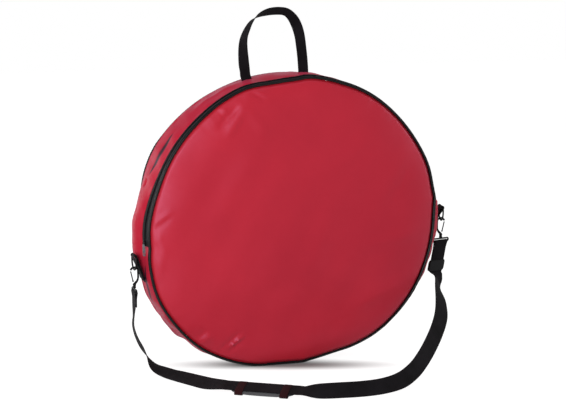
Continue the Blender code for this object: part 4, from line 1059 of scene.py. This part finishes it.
def coil_row(name, start, end, sign):
    """Bars across the tape: each is a small box from the tape's edge to the zip's middle."""
    pitch = np.degrees(COIL_PITCH / SEAM_RADIUS)
    at = np.arange(start + pitch, end - pitch, pitch) + (pitch / 2 if sign > 0 else 0.0)
    points, normals = seam_at(at)
    radial = np.stack([normals[:, 0], np.zeros(len(at)), normals[:, 1]], axis=1)
    along = np.stack([-radial[:, 2], np.zeros(len(at)), radial[:, 0]], axis=1)
    rise, depth = table_at(ZIP_RISES, at)[:, None], np.array([0.0, 1.0, 0.0])
    slope = np.arctan2(rise, ZIP_BACK - BAND_FRONT)
    base = PIPING_RADIUS + rise / 2 + table_at(FRONT_SHIFT, at)[:, None] + TAPE_SINK + TOUCH_GAP
    origin = np.stack([points[:, 0], np.full(len(at), ZIP_MIDDLE), points[:, 1]], axis=1) + radial * base
    wide = depth * np.cos(slope) + radial * np.sin(slope)
    tall = radial * np.cos(slope) - depth * np.sin(slope)
    # A turn's section, (across the tape, out of it), from the zip's middle to the tape's cloth.
    near, far = -0.0004, COIL_SPACING / 2 + COIL_RADIUS
    corners = [
        (near, 0.0006), (near, 0.0019), (far * 0.5, 0.0026), (far, 0.0018), (far, 0.0), (far * 0.5, 0.0),
    ]
    ring_ = np.stack([origin + wide * sign * u + tall * v for u, v in corners], axis=1)
    first, second = ring_ - along[:, None] * TURN_HALF, ring_ + along[:, None] * TURN_HALF
    verts = np.stack([first, second], axis=1).reshape(-1, 3)
    n = len(corners)
    sides = [(k, (k + 1) % n, n + (k + 1) % n, n + k) for k in range(n)]
    quads = (np.arange(len(at))[:, None, None] * 2 * n + np.array(sides)).reshape(-1, 4)
    caps = (np.arange(len(at))[:, None, None] * 2 * n + np.array([range(n), range(n, 2 * n)])).reshape(-1, n)
    mesh = bpy.data.meshes.new(name)
    mesh.from_pydata(verts.tolist(), [], quads.tolist() + caps.tolist())
    mesh.materials.append(nylon)
    bm = bmesh.new()
    bm.from_mesh(mesh)
    bmesh.ops.recalc_face_normals(bm, faces=bm.faces)
    bm.to_mesh(mesh)
    bm.free()
    piece = bpy.data.objects.new(name, mesh)
    bpy.context.scene.collection.objects.link(piece)
    return piece


tape_front = tape_strip("zip_tape_front_woven", BAND_FRONT, ZIP_MIDDLE - TAPE_GAP / 2)
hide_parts("zip_tape_front", "zip_end_left", "zip_end_right")
tape_rear = tape_strip("zip_tape_rear_woven", ZIP_MIDDLE + TAPE_GAP / 2, ZIP_BACK)
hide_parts("zip_tape_rear")
coil_front = coil_row("zip_coil_front_turns", ZIP_RIGHT, ZIP_LEFT, -1)
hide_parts("zip_coil_front")
coil_rear = coil_row("zip_coil_rear_turns", ZIP_RIGHT - ZIP_STUB, ZIP_LEFT + ZIP_STUB, 1)
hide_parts("zip_coil_rear")
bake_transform(tape_front)
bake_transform(coil_front)
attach(tape_rear, "bag")
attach(coil_rear, "bag")
print("coil turns", len(coil_front.data.polygons) // 8, len(coil_rear.data.polygons) // 8)

# %% [markdown]
# ## Slider and pull
# The slider is a cast body with a lid over the coil, a base under it and a bow on top for
# the pull. The pull is a flat moulded tab with a long hole, and it lies turned a little
# towards the front. Lid, base and pull are flat outlines given a thickness, so one function
# carries an outline through a few levels.

# %% Slider and pull


def slider_frame(angle):
    """Origin on the zip's middle line, with directions along, across and out."""
    point, normal = seam_at(np.array([angle]))
    radial = np.array([normal[0][0], 0.0, normal[0][1]])
    rise, shift = table_at(ZIP_RISES, angle), table_at(FRONT_SHIFT, angle)
    slope = np.arctan2(rise, ZIP_BACK - BAND_FRONT)
    out = PIPING_RADIUS + rise / 2 + shift + TAPE_SINK
    origin = np.array([point[0][0], ZIP_MIDDLE, point[0][1]]) + radial * out
    along = np.array([-radial[2], 0.0, radial[0]])
    wide = np.array([0.0, np.cos(slope), 0.0]) + radial * np.sin(slope)
    return origin, along, wide, radial * np.cos(slope) - np.array([0.0, np.sin(slope), 0.0])


def plate(name, frame_, centre, outline, levels, material, hole=None):
    """An outline (along, across) carried out through levels (height, share of size)."""
    origin, along, wide, out = frame_
    outline = np.asarray(outline, dtype=float)
    loops = [(height, (outline - centre) * share + centre) for height, share in levels]
    if hole is not None:
        hole = np.asarray(hole, dtype=float)
        middle = hole.mean(axis=0)
        loops += [(height, (hole - middle) * (2 - share) + middle) for height, share in levels[::-1]]
    grid = [origin + along * loop[:, :1] + wide * loop[:, 1:] + out * height for height, loop in loops]
    return grid_mesh(name, np.stack(grid), [material], closed=hole is not None)


def round_box(length, width, power, steps=48, centre=(0.0, 0.0)):
    """Superellipse: the sine and cosine each raised to 2 / power, keeping their signs."""
    t = np.linspace(0.0, 2 * np.pi, steps, endpoint=False)
    c, s_ = np.cos(t), np.sin(t)
    x = np.sign(c) * np.abs(c) ** (2 / power) * length / 2
    y = np.sign(s_) * np.abs(s_) ** (2 / power) * width / 2
    return np.stack([x, y], axis=1) + np.array(centre)


# The lid stands ROOF_GAP over the coil, and the pull lies on the lid, turned about the zip.
SLIDER_LENGTH, LID_WIDTH, BASE_WIDTH, ROOF_GAP, LID_RISE = 0.0120, 0.0095, 0.0092, 0.0005, 0.0012
BOW_HALF, BOW_RISE, BOW_WIRE = 0.0042, 0.0030, 0.0007
PULL_LENGTH, PULL_WIDTH, PULL_CENTRE, PULL_RISE, PULL_TURN = 0.0284, 0.0070, 0.0158, 0.0014, np.radians(25.0)
HOLE_LENGTH, HOLE_WIDTH, HOLE_CENTRE = 0.0060, 0.0034, 0.0245

zip_frame = slider_frame(ZIP_LEFT + ZIP_STUB / 2)
roof = 2 * TOUCH_GAP + 2 * COIL_RADIUS + ROOF_GAP
body_outline = round_box(SLIDER_LENGTH, LID_WIDTH, 3.0)
lid = plate(
    "zip_slider_lid", zip_frame, 0.0, body_outline,
    [(0.0010, 0.93), (0.0012, 1.0), (roof + 0.0004, 1.0), (roof + 0.0010, 0.94), (roof + 0.0013, 0.80)],
    black_metal,
)
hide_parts("zip_slider")
floor_plate = plate(
    "zip_slider_base", zip_frame, 0.0, round_box(SLIDER_LENGTH, BASE_WIDTH, 3.0),
    [(-0.0030, 0.90), (-0.0028, 1.0), (-0.0020, 1.0), (-0.0018, 0.94)], black_metal,
)
origin, along, wide, out = zip_frame
t = np.linspace(0.0, np.pi, 15)
bow_path = origin + along * (BOW_HALF * np.cos(t))[:, None]
bow_path = bow_path + out * (roof + 0.0004 + BOW_RISE * np.sin(t))[:, None]


def wire(name, path, radii, plane, sides=16, closed=False):
    """Round metal bar along a path in a plane: point + r (cos * plane normal + sin * side)."""
    path = np.asarray(path, dtype=float)
    steps = np.roll(path, -1, axis=0) - np.roll(path, 1, axis=0) if closed else np.gradient(path, axis=0)
    along_ = unit(steps)
    first = np.broadcast_to(unit(plane), path.shape)
    second = np.cross(along_, first)
    t_ = np.linspace(0.0, 2 * np.pi, sides, endpoint=False)[None, :, None]
    r_ = np.broadcast_to(np.asarray(radii, dtype=float), len(path))[:, None, None]
    grid = path[:, None] + r_ * (np.cos(t_) * first[:, None] + np.sin(t_) * second[:, None])
    return grid_mesh(name, grid, [black_metal], closed=closed)


bow = wire("zip_slider_bow", bow_path, BOW_WIRE, wide, 10)
for piece in (lid, floor_plate, bow):
    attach(piece, "slider")

pull_wide = wide * np.cos(PULL_TURN) + out * np.sin(PULL_TURN)
pull_frame = (origin, along, pull_wide, out * np.cos(PULL_TURN) - wide * np.sin(PULL_TURN))
pull_base = roof + LID_RISE + 2 * TOUCH_GAP + PULL_RISE
pull_levels = [
    (pull_base, 0.90), (pull_base + 0.0002, 0.98), (pull_base + 0.0008, 1.0), (pull_base + 0.0014, 0.98),
    (pull_base + 0.0016, 0.90),
]
pull_outline = round_box(PULL_LENGTH, PULL_WIDTH, 4.5, 64, (PULL_CENTRE, 0.0))
pull_hole = round_box(HOLE_LENGTH, HOLE_WIDTH, 2.5, 64, (HOLE_CENTRE, 0.0))
pull = plate(
    "zip_pull_tab", pull_frame, np.array([PULL_CENTRE, 0.0]), pull_outline, pull_levels, pull_rubber,
    pull_hole,
)
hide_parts("zip_pull")
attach(pull, "pull")
print("slider at", np.round(origin, 4).tolist())

# %% [markdown]
# ## Handle
# One length of webbing is sewn to the band at both feet and stands in a loop. Its path lies
# in one plane, but the webbing turns about its path, so a direction across it is given at
# each place. It bends at its feet, where a short straight run leads it out from just under
# the band's face.

# %% Handle
HANDLE_Y, HANDLE_WIDTH, HANDLE_THICKNESS = 0.018, 0.025, 0.0018
# Where the feet leave the band, how far they start under its face, and the way across them.
FOOT_ANGLES, FOOT_SINK, FOOT_ACROSS = (106.4, 83.7), 0.0020, (-1.0, 0.0, -0.07)
HANDLE_ROUTE = [
    ((-0.1035, 0.6812), FOOT_ACROSS), ((-0.1043, 0.6912), FOOT_ACROSS),
    ((-0.1068, 0.7110), (-0.93, 0.37, 0.00)), ((-0.1085, 0.7450), (-0.68, 0.75, 0.00)),
    ((-0.1060, 0.7680), (-0.45, 0.90, 0.00)), ((-0.0980, 0.7880), (-0.25, 1.00, 0.10)),
    ((-0.0870, 0.8060), (0.00, 1.00, 0.00)), ((-0.0710, 0.8190), (0.20, 0.85, -0.35)),
    ((-0.0500, 0.8265), (0.20, 0.70, -0.65)), ((-0.0270, 0.8290), (0.05, 0.65, -0.75)),
    ((-0.0050, 0.8265), (-0.20, 0.70, -0.70)), ((0.0100, 0.8150), (-0.60, 0.60, -0.45)),
    ((0.0210, 0.7970), (-0.90, 0.30, -0.30)), ((0.0290, 0.7730), (-1.00, 0.10, -0.20)),
    ((0.0335, 0.7440), (-1.00, 0.00, -0.15)), ((0.0365, 0.7180), (-1.00, 0.00, -0.10)),
    ((0.0378, 0.7012), FOOT_ACROSS), ((0.0385, 0.6912), FOOT_ACROSS),
]
rows = smooth([(x, HANDLE_Y, z, *w) for (x, z), w in HANDLE_ROUTE], 8)
feet = []
for angle, first in zip(FOOT_ANGLES, (rows[0], rows[-1])):
    point, normal = seam_at(np.array([angle]))
    offset = float(band_offset(np.array([HANDLE_Y]), np.array([angle]), point)[0]) - FOOT_SINK
    base = point[0] + normal[0] * offset
    steps = np.linspace(0.0, 1.0, 5)[:-1, None]
    foot = np.array([base[0], HANDLE_Y, base[1]]) * (1 - steps) + first[:3] * steps
    feet.append(np.hstack([foot, np.tile(FOOT_ACROSS, (4, 1))]))
rows = np.vstack([feet[0], rows, feet[1][::-1]])
handle = strip("handle_webbing_loop", rows[:, :3], rows[:, 3:], HANDLE_WIDTH, HANDLE_THICKNESS, webbing)
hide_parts("handle_webbing", "handle_foot_left", "handle_foot_right")
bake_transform(handle)
print("handle", round(path_length(rows[:, :3]), 3), "m of webbing")

# %% [markdown]
# ## Side fittings
# On each side a webbing tab holds a D-ring, a snap hook hangs in the ring, and the hook's
# swivel eye carries the strap. They are bent wire and castings, so each is a round section
# carried along its centre line, thicker where the casting is thicker. In the photograph the
# hook is thicker than in the CAD model, so its wire and its gate are drawn thicker here.

# %% Rings, hooks and eyes
RING_HEIGHT, RING_WIRE, TAB_LENGTH, TAB_WIDTH, TAB_LIFT = 0.032, 0.0020, 0.060, 0.034, 0.0002
HOOK_INNER, HOOK_WIRE, HOOK_DROP, HOOK_REST = 0.0065, 0.0023, 0.034, 0.00095
BARREL_RADIUS, BARREL_LENGTH, GATE_WIRE, HEEL_RISE, HEEL_OUT = 0.0042, 0.009, 0.0014, 0.0012, 0.32
# The hook's bend in shares of its reach, and the barrel's turning as shares of length and radius.
HOOK_BEND = [(-1.0, -2.2), (-0.75, -3.0), (-0.25, -3.6)]
BARREL_TURNING = [
    (0.08, 1.0), (0.2, 1.0), (0.24, 0.86), (0.5, 0.86), (0.76, 0.86), (0.8, 1.0), (0.92, 1.0), (1.0, 0.9),
]
# By side, in degrees: where the band is searched under a tab, and the tab's turn over the bar.
TAB_ANGLES = {-1: (140.0, 240.0), 1: (-60.0, 40.0)}
WRAP_ANGLES = {-1: (0.0, 215.0), 1: (180.0, -35.0)}


def band_reach(side, z):
    """Outermost x of the side band under a tab at height z."""
    angles = np.linspace(*TAB_ANGLES[side.sign], 201)
    points, normals = seam_at(angles)
    best = []
    for y in side.bow[1] + TAB_WIDTH * np.linspace(-0.5, 0.5, 5):
        outside = points + normals * band_offset(np.full(len(angles), y), angles, points)[:, None]
        order = np.argsort(outside[:, 1])
        best.append(side.sign * np.interp(z, outside[order, 1], outside[order, 0]))
    return side.sign * max(best)


def flat_loop(half, bottom_, top_, corner, lower):
    """A rounded rectangle (v, w); the lower corners may have their own radius."""
    return np.vstack([
        arc((half - corner, top_ - corner), corner, 0.0, 90.0, 8),
        arc((corner - half, top_ - corner), corner, 90.0, 180.0, 8),
        arc((lower - half, bottom_ + lower), lower, 180.0, 270.0, 16),
        arc((half - lower, bottom_ + lower), lower, 270.0, 360.0, 16),
    ])


def upright(flat):
    """Points (v, w) as (0, v, w)."""
    return np.concatenate([np.zeros((len(flat), 1)), flat], axis=1)


for side in (LEFT, RIGHT):
    half = STRAP_WIDTH / 2 + 2 * RING_WIRE
    outline = flat_loop(half, 0.0, RING_HEIGHT, 2 * RING_WIRE, half)
    ring_piece = wire(
        f"d_ring_{side.name}_wire", side.place(upright(outline)), RING_WIRE, np.cross(side.wide, (0, 0, 1)),
        closed=True,
    )
    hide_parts(f"d_ring_{side.name}")
    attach(ring_piece, f"ring_{side.name}")

    bar = np.array([side.bow[0], side.bow[2] + RING_HEIGHT])
    clear_ = RING_WIRE + 3 * TOUCH_GAP + STRAP_THICKNESS / 2
    heights = bar[1] - TAB_LENGTH * np.linspace(1.0, 0.6, 9)
    inner = [(band_reach(side, z) + side.sign * (TAB_LIFT + STRAP_THICKNESS / 2), z) for z in heights]
    wrap = arc(bar, clear_, *WRAP_ANGLES[side.sign], 21)
    outer = [(x + side.sign * (STRAP_THICKNESS + 2 * TOUCH_GAP), z) for x, z in inner[2:]][::-1]
    flat_path = np.array([*inner, *wrap, *outer])
    path = np.stack([flat_path[:, 0], np.full(len(flat_path), side.bow[1]), flat_path[:, 1]], axis=1)
    tab = strip(f"tab_{side.name}_webbing", path, side.wide, TAB_WIDTH, STRAP_THICKNESS, webbing)
    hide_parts(f"side_tab_{side.name}")
    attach(tab, "bag")

    reach = HOOK_INNER + HOOK_WIRE
    hang = HOOK_INNER - RING_WIRE - HOOK_REST
    top_arc = arc((0.0, -hang), reach, 15.0, 180.0, 24)
    bend = [(u * reach, w * reach) for u, w in HOOK_BEND]
    spine = smooth([top_arc[-1], *bend, (0.0, -HOOK_DROP)], 6)[1:]
    barrel = [(0.0, -HOOK_DROP - BARREL_LENGTH * down_) for down_, _ in BARREL_TURNING]
    growing = np.interp(
        np.linspace(0, 1, len(spine) - 6), [0, 0.6, 1], [HOOK_WIRE, 1.3 * HOOK_WIRE, 0.8 * BARREL_RADIUS],
    )
    radii = [HOOK_WIRE * 0.75] + [HOOK_WIRE] * (len(top_arc) + 5) + list(growing)
    radii += [BARREL_RADIUS * share for _, share in BARREL_TURNING]
    centre_line = np.array([*top_arc, *spine, *barrel])
    hook = wire(
        f"snap_hook_{side.name}", side.place(fitting_path(centre_line)), radii[: len(centre_line)], side.wide,
    )
    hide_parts(f"hook_{side.name}")
    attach(hook, f"snap_{side.name}")

    nose = top_arc[0] + np.array([0.0, -0.5 * (HOOK_WIRE + GATE_WIRE) - 2 * TOUCH_GAP])
    heel = np.array([HEEL_OUT * reach, -HOOK_DROP + BARREL_RADIUS + HEEL_RISE])
    gate_path = nose + (heel - nose) * np.linspace(0.0, 1.0, 12)[:, None]
    gate = wire(
        f"spring_gate_{side.name}", side.place(fitting_path(gate_path)),
        [GATE_WIRE] * 10 + [1.3 * GATE_WIRE] * 2, side.wide, 12,
    )
    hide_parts(f"hook_gate_{side.name}")
    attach(gate, f"gate_{side.name}")

    half = STRAP_WIDTH / 2 + 2 * EYE_WIRE
    rise = EYE_DROP - HOOK_DROP - BARREL_LENGTH - BARREL_RADIUS / 2
    loop = flat_loop(half, -EYE_DROP, rise - EYE_DROP, 1.3 * EYE_WIRE, 1.3 * EYE_WIRE)
    plane = side.place([1.0, 0.0, 0.0], True) - side.place([0.0, 0.0, 0.0], True)
    eye = wire(f"swivel_eye_{side.name}_wire", side.place(upright(loop), True), EYE_WIRE, plane, closed=True)
    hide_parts(f"swivel_eye_{side.name}")
    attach(eye, f"strap_end_{side.name}")
print("side fittings made")

# %% [markdown]
# ## Adjuster
# The strap's length is set by a cast frame that both layers of webbing pass through. Its
# section is a rounded bar, carried round a rounded rectangle.

# %% Adjuster
ADJUSTER_LENGTH, ADJUSTER_WALL, ADJUSTER_PLATE = 0.026, 0.0035, 0.0014
CORNER_U, CORNER_V, END_THINNING = 0.25, 0.12, 0.75  # powers that square the corners, and a share
middle_w = -EYE_DROP - DOUBLED_LENGTH + RETURN_TAIL + ADJUSTER_LENGTH / 2
slot_u, slot_v = STRAP_THICKNESS + 2 * TOUCH_GAP, STRAP_WIDTH / 2 + 2 * TOUCH_GAP
t = np.linspace(0.0, 2 * np.pi, 64, endpoint=False)
c, s_ = np.cos(t), np.sin(t)
levels = [
    (-0.5, 0.10), (-0.5, 0.60), (-0.44, 0.92), (-0.3, 1.0), (0.3, 1.0), (0.44, 0.92), (0.5, 0.60),
    (0.5, 0.10), (0.46, 0.0), (-0.46, 0.0),
]
grid = []
for w_share, wall in levels:
    reach_u = slot_u + ADJUSTER_PLATE * wall
    reach_v = slot_v + ADJUSTER_WALL * wall * (1 - END_THINNING * abs(2 * w_share) ** 4)
    u = np.sign(c) * np.abs(c) ** CORNER_U * reach_u
    v = np.sign(s_) * np.abs(s_) ** CORNER_V * reach_v
    w = np.full(64, middle_w + w_share * ADJUSTER_LENGTH)
    grid.append(RIGHT.place(np.stack([u, v, w], axis=1), True))
adjuster = grid_mesh("strap_adjuster_frame", np.stack(grid, axis=1), [black_metal], closed=True)
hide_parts("strap_adjuster")
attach(adjuster, "adjuster")
print("adjuster", len(adjuster.data.polygons), "faces")

# %% [markdown]
# ## Floor, light and background
# A white studio with four large soft lights: one at the left that gives the coat its sheen,
# one behind that lights the side band, and weaker ones at the right and above. The camera
# and mirror rays see the floor and the low sky as white, while the bag is lit at a plain
# level. The floor's own glow fades out in an oval under the bag, which paints a grey shadow
# there on top of the shadow the lamps cast. Higher up, mirror rays meet a darker sky, or the
# band's edge would turn white.

# %% Studio
WHITE = (1.0, 1.0, 1.0, 1.0)
# The oval where the floor's glow fades out is a painted shadow under the bag.
SKY_STRENGTH, FLOOR_GLOW, SHADOW_OVAL_CENTRE, SHADOW_OVAL_STRETCH = 0.31, 0.94, (-0.034, -0.057, 0.0), 4.5
LAMP_AIM = (0.0, 0.0, 0.35)
LAMPS = [
    ("soft_left", (-1.20, -1.50, 0.72), 0.9, 1.4, 24.0), ("soft_right", (1.95, -0.40, 1.10), 0.9, 1.4, 11.0),
    ("soft_behind", (-1.75, 1.60, 0.50), 0.9, 1.4, 22.0), ("soft_top", (0.1, -0.8, 2.5), 1.6, 1.6, 7.0),
]


def seen_rays(tree):
    """1 for camera, glossy and transmission rays, by the larger of the three, and 0 for others."""
    rays = add(tree, "ShaderNodeLightPath")
    most = rays.outputs["Is Camera Ray"]
    for kind in ("Is Glossy Ray", "Is Transmission Ray"):
        larger = add(tree, "ShaderNodeMath", links={0: most, 1: rays.outputs[kind]}, operation="MAXIMUM")
        most = larger.outputs[0]
    return most


floor_mesh = bpy.data.meshes.new("floor")
floor_mesh.from_pydata([(-8, -6, 0), (8, -6, 0), (8, 8, 0), (-8, 8, 0)], [], [(0, 1, 2, 3)])
floor_piece = bpy.data.objects.new("floor", floor_mesh)
bpy.context.scene.collection.objects.link(floor_piece)
floor_material, tree, shader = start_material("pale_floor", Roughness=0.95, Specular_IOR_Level=0.0)
shader.inputs["Base Color"].default_value = linear("#8E8E8E")
seen = seen_rays(tree)
place = add(tree, "ShaderNodeTexCoord")
# Painted shadow: the glow falls to nothing in this oval, so the floor there is drawn grey.
shadow_oval = add(
    tree, "ShaderNodeMapping", vector_type="TEXTURE", links={"Vector": place.outputs["Object"]},
    values={"Location": SHADOW_OVAL_CENTRE, "Rotation": (0.0, 0.0, AZIMUTH), "Scale": (SHADOW_OVAL_STRETCH, 1.0, 1.0)},
)
away = add(tree, "ShaderNodeVectorMath", links={0: shadow_oval.outputs["Vector"]}, operation="LENGTH")
level = add(
    tree, "ShaderNodeMapRange",
    values={"From Min": 0.010, "From Max": 0.072, "To Min": 0.0, "To Max": FLOOR_GLOW},
    links={"Value": away.outputs["Value"]}, interpolation_type="SMOOTHSTEP",
)
glow = add(tree, "ShaderNodeMath", links={0: seen, 1: level.outputs["Result"]}, operation="MULTIPLY")
tree.links.new(glow.outputs[0], shader.inputs["Emission Strength"])
shader.inputs["Emission Color"].default_value = WHITE
floor_mesh.materials.append(floor_material)

world = bpy.data.worlds.new("studio")
bpy.context.scene.world = world
world.use_nodes = True
tree = world.node_tree
tree.nodes.clear()
seen = seen_rays(tree)
sky = add(tree, "ShaderNodeBackground", values={"Color": WHITE, "Strength": SKY_STRENGTH})
place = add(tree, "ShaderNodeTexCoord")
height = add(tree, "ShaderNodeSeparateXYZ", links={"Vector": place.outputs["Generated"]})
level = add(
    tree, "ShaderNodeMapRange", values={"From Min": 0.12, "From Max": 0.60, "To Min": 1.0, "To Max": 0.15},
    links={"Value": height.outputs["Z"]},
)
white = add(
    tree, "ShaderNodeBackground", values={"Color": WHITE}, links={"Strength": level.outputs["Result"]},
)
both = add(tree, "ShaderNodeMixShader", links={0: seen, 1: sky.outputs[0], 2: white.outputs[0]})
add(tree, "ShaderNodeOutputWorld", links={"Surface": both.outputs[0]})


def area_light(name, place_, wide_, tall_, power):
    """A soft light of a width and height: its matrix looks from its place towards the bag."""
    data = bpy.data.lights.new(name, "AREA")
    data.shape, data.size, data.size_y, data.energy = "RECTANGLE", wide_, tall_, power
    back_ = unit(np.array(place_) - np.array(LAMP_AIM))
    side_ = unit(np.cross((0.0, 0.0, 1.0), back_))
    matrix = np.eye(4)
    matrix[:3, 0], matrix[:3, 1], matrix[:3, 2], matrix[:3, 3] = side_, np.cross(back_, side_), back_, place_
    lamp = bpy.data.objects.new(name, data)
    lamp.matrix_world = Matrix(matrix.tolist())
    bpy.context.scene.collection.objects.link(lamp)


for lamp_values in LAMPS:
    area_light(*lamp_values)
bpy.context.scene.view_settings.view_transform = "Standard"
print("studio ready,", len(LAMPS), "lamps")
